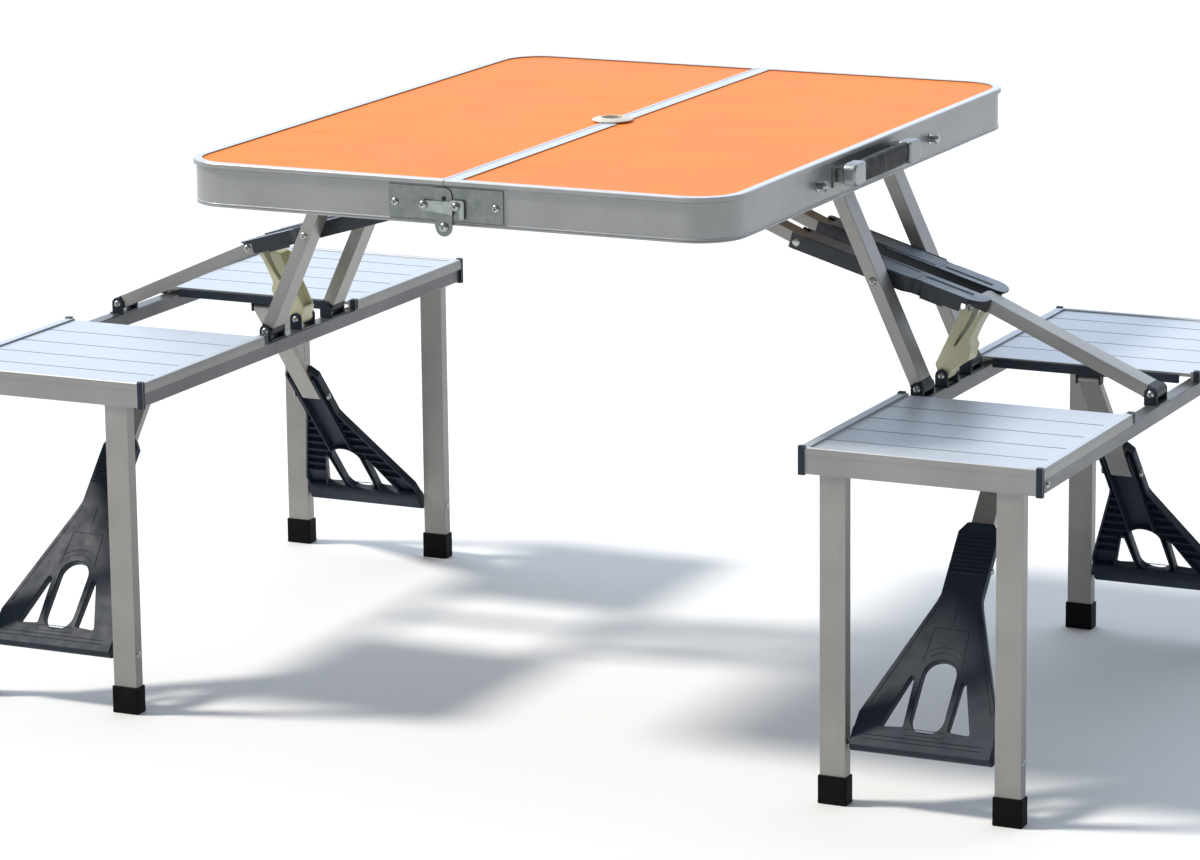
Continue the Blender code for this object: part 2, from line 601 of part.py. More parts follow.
def latch_disc(name, x, z, radius, low, high, mats, group):
    """A round pin or head on the front latch, between two distances from the table's middle."""
    return prism(name, arc((x, z), radius, 0, 330, 11), "Y", -high, -low, mats["zinc"], group)


def latch_pin(x, mats, group):
    """A headed pin that holds the hook."""
    shank = latch_disc("shank", x, LATCH_Z, LATCH_PIN_R, LATCH_FACE + 0.0005, LATCH_FACE + 0.0066,
                       mats, group)
    head = latch_disc("head", x, LATCH_Z, 0.0046, LATCH_FACE + 0.0059, LATCH_FACE + 0.0076, mats, group)
    return [shank, head]


def latch_left_plate(mats, group):
    """The front latch plate of the left half, with the hinge tongue that laps over the seam."""
    zinc = mats["zinc"]
    plate = box("latch_plate_front_left", (-0.0680, -0.0086), (-LATCH_FACE - 0.0014, -LATCH_FACE),
                LATCH_PLATE_Z, zinc, group)
    low, high = LATCH_PLATE_Z
    outline = [(-0.0112, high - 0.0004), (-0.0112, HINGE_Z + 0.0015)]
    outline += arc((-0.0002, HINGE_Z), 0.0102, 190, 360, 9)
    outline += [(0.0100, high - 0.0115)] + arc((0.0015, high - 0.0089), 0.0085, 0, 90, 4)[1:]
    tongue = prism("tongue", outline, "Y", -LATCH_FACE - 0.0032, -LATCH_FACE - 0.0018, zinc, group)
    lap = box("lap", (-0.0110, -0.0088), (-LATCH_FACE - 0.0028, -LATCH_FACE - 0.0004),
              (low + 0.0003, high - 0.0006), zinc, group)
    screw = latch_disc("screw", 0.0, HINGE_Z, 0.0052, LATCH_FACE + 0.0028, LATCH_FACE + 0.0047, mats, group)
    return combine(plate, [lap, tongue, screw] + latch_pin(HOOK_X, mats, group))


def latch_right_plate(mats, group):
    """The front latch plate of the right half, with the pin that the hook drops over."""
    plate = box("latch_plate_front_right", (0.0012, 0.0710), (-LATCH_FACE - 0.0014, -LATCH_FACE),
                LATCH_PLATE_Z, mats["zinc"], group)
    return combine(plate, latch_pin(CATCH_X, mats, group))


def latch_hook(mats, group):
    """The hook that swings on the left plate: its slot drops over the right plate's pin."""
    z = LATCH_Z
    outline = arc((HOOK_X, z - 0.0010), 0.0056, 90, 270, 6)
    outline += [(0.0080, z - 0.0088), (0.0104, z - 0.0105), (0.0112, z - 0.0085)]
    outline += arc((CATCH_X, z), 0.0038, 180, 0, 6)
    outline += [(0.0195, z - 0.0125), (0.0208, z - 0.0140), (0.0240, z - 0.0140), (0.0253, z - 0.0125)]
    outline += [(0.0253, z + 0.0055), (0.0238, z + 0.0070), (0.0120, z + 0.0070), (0.0080, z + 0.0050)]
    zinc = mats["zinc"]
    hook = prism("latch_hook_front", outline, "Y", -LATCH_FACE - 0.0054, -LATCH_FACE - 0.0038, zinc, group)
    eye = latch_disc("eye", HOOK_X, z, LATCH_PIN_R + 0.0004, LATCH_FACE, LATCH_FACE + 0.02, mats, group)
    return cut(hook, [eye])


def pivot_empty(name, place, parent, group):
    """An empty on a joint's axis that carries one moving body."""
    empty = bpy.data.objects.new(name, None)
    empty.empty_display_size = 0.02
    group.objects.link(empty)
    place = Vector(place)
    empty.location = place - (Vector(parent["place"]) if parent else Vector((0, 0, 0)))
    if parent:
        empty.parent = parent["empty"]
    return {"empty": empty, "place": place}


def carry(pivot, pieces):
    """Moves the origin of each piece to its pivot and parents it there."""
    for piece in pieces:
        piece.data.transform(Matrix.Translation(-pivot["place"]))
        piece.parent = pivot["empty"]


def build_side(mats, group):
    """Every piece of the right half, by the name of the body that carries it."""
    front_leg = main_leg(mats, group)
    front_arm = scissor_arm(mats, group)
    inner_rail, outer_rail = seat_rails(mats, group)
    x = SEAT_PIVOT.x
    foot = (RAIL_INNER_X[0] + 0.0008, RAIL_INNER_X[1] - 0.0004)
    outer_foot = (RAIL_OUTER_X[0] - 0.0015, RAIL_OUTER_X[1] - 0.0010)
    front_clevis = clevis("clevis_front_right", x, -LEG_Y, foot, mats, group)
    rail_clevis(inner_rail, x, (foot[0], x + 0.0040), mats, group)
    rail_clevis(outer_rail, OUTER_PIVOT.x, outer_foot, mats, group)
    bodies = {
        "table": [table_frame(SEAM_STRIP["right"], mats, group), table_panel(mats, group),
                  pole_ring(mats, group), pivot_plate(mats, group)],
        "legs": [front_leg, mirrored(front_leg, "main_leg_rear_right", "Y")],
        "bars": [link_bars(mats, group)],
        "arms": [front_arm, mirrored(front_arm, "arm_rear_right", "Y")],
        "tube": [outer_tube(mats, group)],
        "lever": [lock_lever(mats, group)],
        "seats": [inner_rail, outer_rail, front_clevis, mirrored(front_clevis, "clevis_rear_right", "Y")],
    }
    deck = seat_deck(mats, group)
    bodies["seats"] += [deck, mirrored(deck, "seat_deck_rear_right", "Y")]
    inner_leg = seat_leg("seat_leg_inner_front_right", SEAT_LEG_X[0], mats, group)
    outer_leg = seat_leg("seat_leg_outer_front_right", SEAT_LEG_X[1], mats, group)
    fan = fan_brace(mats, group)
    stay = brace_stay(mats, group)
    bodies["seat_legs_front"] = [inner_leg, outer_leg]
    bodies["seat_legs_rear"] = [mirrored(inner_leg, "seat_leg_inner_rear_right", "Y"),
                                mirrored(outer_leg, "seat_leg_outer_rear_right", "Y")]
    bodies["stay_front"] = [stay]
    bodies["stay_rear"] = [mirrored(stay, "brace_stay_rear_right", "Y")]
    bodies["fan_front"] = [fan]
    bodies["fan_rear"] = [mirrored(fan, "fan_brace_rear_right", "Y")]
    return bodies


def mirror_bodies(bodies, mats, group):
    """The left half, mirrored from the right one, with a narrower strip along its seam."""
    other = {}
    for body, pieces in bodies.items():
        other[body] = [mirrored(p, p.name.replace("_right", "_left"), "X") for p in pieces]
    narrow = table_frame(SEAM_STRIP["left"], mats, group)
    other["table"][0].data = mirrored_mesh(narrow)
    bpy.data.objects.remove(narrow, do_unlink=True)
    return other


def pivot_places(sign):
    """The point on each joint's axis, and the body that each one hangs from."""
    p = SCISSOR
    low, knee, high = brace_lines()
    places = {
        "legs": ("table", (p["top"].x, 0, p["top"].y)),
        "bars": ("table", (p["root"].x, 0, p["root"].y)),
        "arms": ("bars", (p["link"].x, 0, p["link"].y)),
        "seats": ("legs", (SEAT_PIVOT.x, 0, SEAT_PIVOT.y)),
        "tube": ("seats", (OUTER_PIVOT.x, 0, OUTER_PIVOT.y)),
        "lever": ("seats", (SEAT_PIVOT.x, 0, SEAT_PIVOT.y)),
        "seat_legs_front": ("seats", (SEAT_MID_X, -FOLD_Y, FOLD_Z)),
        "seat_legs_rear": ("seats", (SEAT_MID_X, FOLD_Y, FOLD_Z)),
        "stay_front": ("seats", (SEAT_MID_X, high.x, high.y)),
        "stay_rear": ("seats", (SEAT_MID_X, -high.x, high.y)),
        "fan_front": ("stay_front", (SEAT_MID_X, knee.x, knee.y)),
        "fan_rear": ("stay_rear", (SEAT_MID_X, -knee.x, knee.y)),
    }
    return {k: (parent, (sign * at[0], at[1], at[2])) for k, (parent, at) in places.items()}


def rig_side(bodies, side, sign, group):
    """Parents one half to a tree of empties that matches its joints."""
    pivots = {"table": pivot_empty(f"{side}_table_axis", (0, 0, HINGE_Z), None, group)}
    for body, (parent, place) in pivot_places(sign).items():
        pivots[body] = pivot_empty(f"{side}_{body}_axis", place, pivots[parent], group)
    for body, pieces in bodies.items():
        carry(pivots[body], pieces)
    return pivots


def main():
    start_clean()
    group = new_collection("picnic_table")
    mats = {
        "laminate": new_material("orange_laminate", (0.92, 0.34, 0.11), 0.45, 0.0),
        "aluminium": new_material("brushed_aluminium", (0.62, 0.61, 0.60), 0.35, 1.0),
        "aluminium_dark": new_material("rail_aluminium", (0.42, 0.41, 0.41), 0.40, 1.0),
        "seat": new_material("seat_aluminium", (0.72, 0.75, 0.80), 0.32, 1.0),
        "steel": new_material("pressed_steel", (0.45, 0.45, 0.44), 0.45, 1.0),
        "zinc": new_material("zinc_plate", (0.50, 0.54, 0.50), 0.35, 1.0),
        "satin": new_material("satin_metal", (0.60, 0.61, 0.62), 0.30, 1.0),
        "slate": new_material("slate_plastic", (0.030, 0.045, 0.068), 0.50, 0.0),
        "cream": new_material("cream_plastic", (0.66, 0.61, 0.42), 0.45, 0.0),
        "grip": new_material("grip_plastic", (0.012, 0.012, 0.013), 0.45, 0.0),
        "rubber": new_material("foot_rubber", (0.010, 0.010, 0.010), 0.70, 0.0),
    }
    right = build_side(mats, group)
    left = mirror_bodies(right, mats, group)
    plate = latch_left_plate(mats, group)
    catch = latch_right_plate(mats, group)
    hook = latch_hook(mats, group)
    left["table"] += [plate, mirrored(plate, "latch_plate_rear_left", "Y")]
    right["table"] += [catch, mirrored(catch, "latch_plate_rear_right", "Y"), carry_handle(mats, group)]
    right["table"] += [case_stud(f"case_stud_{end}", y, mats, group) for end, y in STUD_Y.items()]
    left_pivots = rig_side(left, "left", -1, group)
    rig_side(right, "right", 1, group)
    for name, source, sign in (("front", hook, 1), ("rear", mirrored(hook, "latch_hook_rear", "Y"), -1)):
        place = (HOOK_X, -sign * LATCH_FACE, LATCH_Z)
        carry(pivot_empty(f"hook_{name}_axis", place, left_pivots["table"], group), [source])


main()
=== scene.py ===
"""Looks of a folding picnic table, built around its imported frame. Metres, Z up, seam along Y."""

import json
import math

import bmesh
import bpy
from mathutils import Matrix, Vector


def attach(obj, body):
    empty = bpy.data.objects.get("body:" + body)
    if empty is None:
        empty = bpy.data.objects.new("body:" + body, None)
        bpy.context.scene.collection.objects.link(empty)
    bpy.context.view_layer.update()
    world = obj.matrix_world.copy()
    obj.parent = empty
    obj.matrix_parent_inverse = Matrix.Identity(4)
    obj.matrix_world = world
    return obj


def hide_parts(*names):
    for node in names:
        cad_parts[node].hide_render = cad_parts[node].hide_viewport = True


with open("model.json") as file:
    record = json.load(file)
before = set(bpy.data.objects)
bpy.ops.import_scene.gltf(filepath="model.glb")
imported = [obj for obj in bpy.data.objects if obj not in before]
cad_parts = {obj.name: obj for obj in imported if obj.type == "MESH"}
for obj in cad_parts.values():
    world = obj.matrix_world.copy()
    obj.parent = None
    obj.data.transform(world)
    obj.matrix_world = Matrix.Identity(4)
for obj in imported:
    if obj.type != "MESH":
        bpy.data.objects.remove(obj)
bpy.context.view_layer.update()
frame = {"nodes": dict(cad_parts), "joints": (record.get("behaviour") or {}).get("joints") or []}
NODES = frame["nodes"]
SIDES = {"right": 1, "left": -1}
ENDS = {"front": 1, "rear": -1}

JOINTS = {joint["name"]: joint["pos_m"] for joint in frame["joints"]}


def pivot(joint):
    """The x and height of a joint that turns about Y."""
    x, _, z = JOINTS[joint]
    return Vector((x, z))


# Places on the front right quarter, most of them where the frame's joints are
TOP_PIVOT = pivot("scissor_fold_right")
BAR_PIVOT = pivot("bar_pivot_right")
LINK = pivot("arm_pivot_right")
SEAT_PIVOT = pivot("seat_pivot_right")
OUTER_PIVOT = pivot("outer_pivot_right")
CROSS = Vector((0.36268, 0.51316))
KNUCKLE = Vector((0.46240, 0.48398))
ARM_DROP = math.radians(16.307)
SEAT_MID_X = JOINTS["leg_fold_front_right"][0]
SEAT_LEG_X = ((0.427, 0.457), (0.628, 0.658))
FOLD_Y = -JOINTS["leg_fold_front_right"][1]
BRACE_Z = 0.070
FAN_SLOPE = math.radians(49.056)
FAN_REACH = 0.2199
LATCH_FACE = 0.4268
LATCH_Z = 0.6320

FRONT = (0, -1, 0)
X_WAY = (1, 0, 0)
Y_WAY = (0, 1, 0)
Z_WAY = (0, 0, 1)
MERGE = 1e-7
ROUND_FROM = math.radians(30.0)

# The camera that the photograph was taken with, as a place, three turns in radians and a lens in millimetres
CAMERA_PLACE = Vector((2.3629, -4.9976, 1.5675))
CAMERA_YAW = 0.445
CAMERA_PITCH = -0.2269
CAMERA_ROLL = -0.0112
CAMERA_LENS = 144.6
CAMERA_SENSOR = 36.0
CAMERA_REACH = 60.0

# Studio light: a soft sun, a pale sky that is darker towards +X, and a bright patch of it behind the table
KEY_WAY = (0.85, 0.30, -1.0)
KEY_STRENGTH = 3.1
KEY_SPREAD = 9.0
KEY_COLOUR = (1.0, 0.95, 0.88)
SKY_WEST = (0.36, 0.40, 0.46)
SKY_EAST = (0.13, 0.145, 0.17)
GLOW = (1.25, 1.42, 1.65)
GLOW_WAY = Vector((-0.42, 0.86, 0.30)).normalized()
FLOOR_RADIUS = 30.0


# ---------------------------------------------------------------- camera, floor and light

def add_camera():
    level = math.cos(CAMERA_PITCH)
    ahead = Vector((-math.sin(CAMERA_YAW) * level, math.cos(CAMERA_YAW) * level, math.sin(CAMERA_PITCH)))
    right = Vector((math.cos(CAMERA_YAW), math.sin(CAMERA_YAW), 0.0))
    up = right.cross(ahead)
    across = right * math.cos(CAMERA_ROLL) + up * math.sin(CAMERA_ROLL)
    above = up * math.cos(CAMERA_ROLL) - right * math.sin(CAMERA_ROLL)
    data = bpy.data.cameras.new("camera")
    data.lens = CAMERA_LENS
    data.sensor_width = CAMERA_SENSOR
    data.clip_end = CAMERA_REACH
    cam = bpy.data.objects.new("camera", data)
    bpy.context.scene.collection.objects.link(cam)
    turn = Matrix((across, above, -ahead)).transposed().to_4x4()
    cam.matrix_world = Matrix.Translation(CAMERA_PLACE) @ turn
    bpy.context.scene.camera = cam


def add_sun(name, direction, strength, spread, colour):
    data = bpy.data.lights.new(name, "SUN")
    data.energy = strength
    data.angle = math.radians(spread)
    data.color = colour
    lamp = bpy.data.objects.new(name, data)
    bpy.context.scene.collection.objects.link(lamp)
    lamp.rotation_mode = "QUATERNION"
    lamp.rotation_quaternion = Vector(direction).to_track_quat("-Z", "Y")


def add_studio():
    world = bpy.data.worlds.new("studio")
    bpy.context.scene.world = world
    world.use_nodes = True
    tree = world.node_tree
    sky = tree.nodes["Background"]
    way = add_node(tree, "ShaderNodeTexCoord").outputs["Generated"]
    ahead = add_node(tree, "ShaderNodeVectorMath", [(way, 0)], operation="DOT_PRODUCT")
    ahead.inputs[1].default_value = GLOW_WAY
    glow = spread(tree, ahead.outputs["Value"], 0.10, 0.85, 0.0, 1.0)
    east = add_node(tree, "ShaderNodeSeparateXYZ", [(way, 0)]).outputs[0]
    base = mix(tree, spread(tree, east, -0.30, 0.80, 0.0, 1.0), SKY_WEST, SKY_EAST)
    tree.links.new(mix(tree, glow, base, GLOW), sky.inputs["Color"])
    sky.inputs["Strength"].default_value = 1.0
    add_sun("key", KEY_WAY, KEY_STRENGTH, KEY_SPREAD, KEY_COLOUR)
    bm = bmesh.new()
    bmesh.ops.create_circle(bm, cap_ends=True, radius=FLOOR_RADIUS, segments=64)
    floor = new_object("floor", bm, paint_floor())
    bpy.context.scene.view_settings.view_transform = "Standard"


# ---------------------------------------------------------------- materials

def new_surface(name):
    mat = bpy.data.materials.new(name)
    mat.use_nodes = True
    tree = mat.node_tree
    return mat, tree, tree.nodes["Principled BSDF"]


def add_node(tree, kind, links=(), **values):
    node = tree.nodes.new(kind)
    for key, value in values.items():
        if key in node.inputs:
            node.inputs[key].default_value = value
        else:
            setattr(node, key, value)
    for source, socket in links:
        tree.links.new(source, node.inputs[socket])
    return node


def object_point(tree):
    return add_node(tree, "ShaderNodeTexCoord").outputs["Object"]


def stretched(tree, along, fine, coarse):
    """Object coordinates squeezed along one direction, so that noise becomes streaks."""
    turn = Vector(along).rotation_difference(Vector((1, 0, 0))).to_euler()
    turned = add_node(tree, "ShaderNodeMapping", [(object_point(tree), "Vector")], Rotation=tuple(turn))
    return add_node(tree, "ShaderNodeMapping", [(turned.outputs[0], "Vector")],
                    Scale=(coarse, fine, fine)).outputs[0]


def noise(tree, point, scale, detail=3.0, roughness=0.5):
    made = add_node(tree, "ShaderNodeTexNoise", [(point, "Vector")], Scale=scale, Detail=detail,
                    Roughness=roughness)
    return made.outputs["Fac"]


def spread(tree, value, low, high, to_low, to_high):
    made = add_node(tree, "ShaderNodeMapRange", [(value, "Value")])
    for socket, number in zip(("From Min", "From Max", "To Min", "To Max"), (low, high, to_low, to_high)):
        made.inputs[socket].default_value = number
    return made.outputs[0]


def mix(tree, factor, first, second, how="MIX"):
    """Mixes two colours, each a tuple or the output of another node."""
    made = add_node(tree, "ShaderNodeMix", data_type="RGBA", blend_type=how)
    for value, socket in ((factor, made.inputs[0]), (first, made.inputs[6]), (second, made.inputs[7])):
        if isinstance(value, bpy.types.NodeSocket):
            tree.links.new(value, socket)
        elif isinstance(value, tuple):
            socket.default_value = (*value, 1.0)
        else:
            socket.default_value = value
    return made.outputs[2]


def relief(tree, shader, height, strength, distance, below=None):
    made = add_node(tree, "ShaderNodeBump", [(height, "Height")], Strength=strength, Distance=distance)
    if below:
        tree.links.new(below, made.inputs["Normal"])
    tree.links.new(made.outputs[0], shader.inputs["Normal"])
    return made.outputs[0]


def paint_floor():
    mat, tree, shader = new_surface("studio_floor")
    shade = noise(tree, object_point(tree), 0.8)
    tree.links.new(mix(tree, shade, (0.84, 0.84, 0.83), (0.87, 0.87, 0.86)), shader.inputs["Base Color"])
    shader.inputs["Roughness"].default_value = 0.9
    shader.inputs["Specular IOR Level"].default_value = 0.1
    return mat


def upwards(tree):
    """How far a face looks up: 1 straight up, 0 level with the floor, -1 straight down."""
    normal = add_node(tree, "ShaderNodeTexCoord").outputs["Normal"]
    return add_node(tree, "ShaderNodeSeparateXYZ", [(normal, 0)]).outputs[2]


def paint_top_sheen(tree, first, second):
    """Painted sheen: the second colour on faces that look upwards, lighter where sky and sun light them and
    reflect from them.
    """
    return mix(tree, spread(tree, upwards(tree), 0.55, 0.90, 0.0, 1.0), first, second)


def metal(name, dark, light, rough, along, fine=900.0, coarse=6.0, streak=0.06, relief_by=0.02, shine=0.6,
          top=None):
    """Extruded or brushed metal: die lines along one direction, soft blotches and small scuffs."""
    mat, tree, shader = new_surface(name)
    lines = noise(tree, stretched(tree, along, fine, coarse), 1.0, 4.0, 0.62)
    blotch = noise(tree, object_point(tree), 14.0, 3.0)
    rubbed = noise(tree, stretched(tree, along, 160.0, 22.0), 1.0, 5.0, 0.7)
    scuff = spread(tree, rubbed, 0.60, 0.72, 0.0, 1.0)
    base = mix(tree, spread(tree, blotch, 0.35, 0.65, 0.0, 1.0), dark, light)
    # Painted sheen: faces that look up are lightened towards the top colour, standing in for light and sky
    # reflection from above.
    if top:
        base = paint_top_sheen(tree, base, top)
    streaks = spread(tree, lines, 0.30, 0.70, 1.0 - streak, 1.0 + streak * 0.5)
    tone = add_node(tree, "ShaderNodeCombineColor", [(streaks, 0), (streaks, 1), (streaks, 2)]).outputs[0]
    lined = mix(tree, 1.0, base, tone, "MULTIPLY")
    dull = mix(tree, 1.0, lined, (0.80, 0.80, 0.80), "MULTIPLY")
    worn = mix(tree, spread(tree, scuff, 0.0, 1.0, 0.0, 0.5), lined, dull)
    tree.links.new(worn, shader.inputs["Base Color"])
    tree.links.new(spread(tree, lines, 0.25, 0.75, rough - 0.05, rough + 0.09), shader.inputs["Roughness"])
    shader.inputs["Metallic"].default_value = shine
    relief(tree, shader, lines, relief_by, 0.0006)
    return mat


def plastic(name, dark, light, rough, grain=1500.0, depth=0.10, scratch=0.25, gloss=0.5, top=None):
    """Moulded plastic with an eroded grain, cloudy colour and pale handling scratches."""
    mat, tree, shader = new_surface(name)
    point = object_point(tree)
    cloud = spread(tree, noise(tree, point, 22.0, 4.0), 0.35, 0.65, 0.0, 1.0)
    fine = noise(tree, point, grain, 2.0)
    marks = spread(tree, noise(tree, stretched(tree, (0.6, 0.3, 0.7), 500.0, 14.0), 1.0, 6.0, 0.75),
                   0.66, 0.78, 0.0, scratch)
    base = mix(tree, cloud, dark, light)
    # Painted sheen: faces that look up are lightened towards the top colour, standing in for light and sky
    # reflection from above.
    if top:
        base = paint_top_sheen(tree, base, top)
    pale = tuple(min(1.0, c * 2.2 + 0.02) for c in light)
    tree.links.new(mix(tree, marks, base, pale), shader.inputs["Base Color"])
    tree.links.new(spread(tree, noise(tree, point, 60.0, 5.0), 0.3, 0.7, rough - 0.07, rough + 0.09),
                   shader.inputs["Roughness"])
    shader.inputs["Specular IOR Level"].default_value = gloss
    relief(tree, shader, fine, depth, 0.0004)
    return mat


def zinc(name, bright=1.0):
    """Yellowish-green passivated plate with a spangle, dull rubbed places and fine scratches."""
    mat, tree, shader = new_surface(name)
    point = object_point(tree)
    greens = ((0.165, 0.185, 0.165), (0.25, 0.265, 0.235), (0.29, 0.32, 0.31), (0.12, 0.125, 0.115))
    dark, light, spangle, scratched = [tuple(c * bright for c in colour) for colour in greens]
    cells = add_node(tree, "ShaderNodeTexVoronoi", [(point, "Vector")], Scale=240.0).outputs["Color"]
    tone = add_node(tree, "ShaderNodeSeparateColor", [(cells, 0)]).outputs[0]
    cloud = spread(tree, noise(tree, point, 70.0, 4.0), 0.35, 0.65, 0.0, 1.0)
    base = mix(tree, cloud, dark, light)
    shade = mix(tree, spread(tree, tone, 0.0, 1.0, 0.0, 0.35), base, spangle)
    marks = spread(tree, noise(tree, stretched(tree, (1.0, 0.2, 0.3), 1400.0, 30.0), 1.0, 5.0, 0.7),
                   0.62, 0.75, 0.0, 0.45)
    tree.links.new(mix(tree, marks, shade, scratched), shader.inputs["Base Color"])
    tree.links.new(spread(tree, cloud, 0.0, 1.0, 0.30, 0.46), shader.inputs["Roughness"])
    shader.inputs["Metallic"].default_value = 0.9
    relief(tree, shader, tone, 0.05, 0.0003)
    return mat


def laminate(name):
    """Printed orange board: faint streaky cloud, tiny flecks and a soft varnish, pale below."""
    mat, tree, shader = new_surface(name)
    point = object_point(tree)
    streaks = noise(tree, stretched(tree, (0.9, 0.45, 0.0), 26.0, 5.0), 1.0, 6.0, 0.62)
    cloud = noise(tree, point, 5.5, 5.0, 0.6)
    flecks = noise(tree, point, 900.0, 2.0)
    warm = mix(tree, spread(tree, cloud, 0.36, 0.64, 0.0, 1.0), (0.93, 0.215, 0.022), (0.97, 0.250, 0.036))
    clouded = mix(tree, spread(tree, streaks, 0.52, 0.70, 0.0, 0.55), warm, (0.90, 0.180, 0.012))
    speckled = mix(tree, spread(tree, flecks, 0.60, 0.72, 0.0, 0.20), clouded, (1.0, 0.36, 0.11))
    board = mix(tree, spread(tree, noise(tree, point, 120.0, 5.0), 0.3, 0.7, 0.0, 1.0),
                (0.30, 0.20, 0.12), (0.40, 0.28, 0.18))
    tree.links.new(mix(tree, spread(tree, upwards(tree), -0.2, 0.2, 0.0, 1.0), board, speckled),
                   shader.inputs["Base Color"])
    tree.links.new(spread(tree, cloud, 0.3, 0.7, 0.46, 0.58), shader.inputs["Roughness"])
    shader.inputs["Specular IOR Level"].default_value = 0.12
    fine = relief(tree, shader, flecks, 0.03, 0.0003)
    relief(tree, shader, noise(tree, point, 60.0, 3.0), 0.02, 0.0015, fine)
    return mat


def rubber(name):
    mat, tree, shader = new_surface(name)
    point = object_point(tree)
    dust = spread(tree, noise(tree, point, 90.0, 6.0, 0.65), 0.48, 0.72, 0.0, 0.5)
    colour = mix(tree, dust, (0.0018, 0.0018, 0.0020), (0.0060, 0.0058, 0.0056))
    tree.links.new(colour, shader.inputs["Base Color"])
    tree.links.new(spread(tree, noise(tree, point, 40.0), 0.3, 0.7, 0.52, 0.72), shader.inputs["Roughness"])
    shader.inputs["Specular IOR Level"].default_value = 0.12
    relief(tree, shader, noise(tree, point, 1100.0, 3.0), 0.16, 0.0005)
    return mat


def tube_way(start, end, sign):
    """The direction of a tube between two pivots, on the right side or mirrored to the left."""
    way = (end - start).normalized()
    return (sign * way.x, 0.0, way.y)


ALU = ((0.300, 0.288, 0.270), (0.340, 0.327, 0.306))
RIM = ((0.285, 0.285, 0.280), (0.330, 0.330, 0.325))
SLAT = ((0.285, 0.280, 0.268), (0.325, 0.320, 0.306))
DARK_ALU = ((0.115, 0.115, 0.118), (0.150, 0.150, 0.153))
STEEL = ((0.30, 0.30, 0.28), (0.38, 0.38, 0.36))
SATIN = ((0.30, 0.31, 0.32), (0.36, 0.37, 0.38))
SCREW_STEEL = ((0.36, 0.37, 0.36), (0.48, 0.49, 0.47))
ARM_GREY = ((0.010, 0.014, 0.020), (0.014, 0.019, 0.027))
SLATE = ((0.013, 0.020, 0.032), (0.018, 0.027, 0.042))
BLACK = ((0.005, 0.0055, 0.006), (0.009, 0.0095, 0.010))
GRIP_BLACK = ((0.005, 0.005, 0.0055), (0.009, 0.009, 0.0095))
CREAM = ((0.60, 0.57, 0.36), (0.72, 0.68, 0.46))
IVORY = ((0.60, 0.57, 0.47), (0.68, 0.65, 0.55))
# Painted sky sheen: the colours that faces looking up are lightened towards, standing in for light and
# reflection from above
SKY_SHEEN_RIM = (0.56, 0.585, 0.62)
SKY_SHEEN_SLAT = (0.56, 0.60, 0.65)
SKY_SHEEN_ARM = (0.190, 0.225, 0.280)

MATS = {
    "laminate": laminate("printed_laminate"),
    "rim": metal("rim_aluminium", *RIM, 0.30, Z_WAY, fine=3.0, coarse=1200.0, streak=0.05, relief_by=0.008,
                 shine=0.40, top=SKY_SHEEN_RIM),
    "seat": metal("slat_aluminium", *SLAT, 0.42, X_WAY, fine=1100.0, coarse=5.0, streak=0.05, shine=0.45,
                  top=SKY_SHEEN_SLAT),
    "seat_leg": metal("leg_aluminium", *ALU, 0.42, Z_WAY, fine=1000.0, coarse=5.0, streak=0.05,
                      relief_by=0.015, shine=0.50),
    "rail": metal("rail_aluminium_dark", *DARK_ALU, 0.36, Y_WAY),
    "steel": metal("zinc_steel", *STEEL, 0.42, X_WAY, fine=300.0, coarse=40.0, shine=0.8),
    "satin": metal("satin_cap", *SATIN, 0.36, Y_WAY, fine=700.0, coarse=60.0, shine=0.8),
    "screw": metal("screw_steel", *SCREW_STEEL, 0.24, (1, 1, 0), fine=700.0, coarse=300.0, streak=0.12,
                   shine=0.95),
    "zinc": zinc("zinc_plating"),
    "hook": zinc("hook_plating", 1.7),
    "arm": plastic("arm_moulding", *ARM_GREY, 0.36, top=SKY_SHEEN_ARM),
    "slate": plastic("slate_moulding", *SLATE, 0.50, gloss=0.25),
    "black": plastic("black_moulding", *BLACK, 0.45, grain=1800.0, depth=0.12, scratch=0.10, gloss=0.3),
    "grip": plastic("grip_moulding", *GRIP_BLACK, 0.50, grain=900.0, depth=0.25, scratch=0.08, gloss=0.2),
    "cream": plastic("cream_moulding", *CREAM, 0.36, grain=900.0, depth=0.05, scratch=0.15),
    "ring": plastic("ring_moulding", *IVORY, 0.36, grain=900.0, depth=0.05, scratch=0.15),
    "rubber": rubber("foot_rubber_black"),
}
TUBES = {
    "leg": ("leg_tube", SEAT_PIVOT, TOP_PIVOT),
    "tube": ("brace_tube", KNUCKLE, OUTER_PIVOT),
    "bar": ("link_bar", BAR_PIVOT, LINK),
}


def add_tube_materials():
    """Drawn aluminium whose die lines follow each slanted tube, so every side and end has its own."""
    for side, sign in SIDES.items():
        for key, (name, start, end) in TUBES.items():
            MATS[f"{key}_{side}"] = metal(f"{name}_{side}", *ALU, 0.36, tube_way(start, end, sign))
    for name, sign in ENDS.items():
        along = (0, sign * math.cos(FAN_SLOPE), math.sin(FAN_SLOPE))
        MATS[f"stay_{name}"] = metal(f"stay_{name}", *ALU, 0.36, along)


add_tube_materials()


# ---------------------------------------------------------------- mesh tools

def new_object(name, bm, mat, crease=35.0):
    bmesh.ops.remove_doubles(bm, verts=bm.verts, dist=1e-6)
    bmesh.ops.recalc_face_normals(bm, faces=bm.faces)
    mesh = bpy.data.meshes.new(name)
    bm.to_mesh(mesh)
    bm.free()
    mesh.polygons.foreach_set("use_smooth", [True] * len(mesh.polygons))
    mesh.set_sharp_from_angle(angle=math.radians(crease))
    mesh.materials.append(mat)
    made = bpy.data.objects.new(name, mesh)
    bpy.context.scene.collection.objects.link(made)
    flatten(made)
    return made


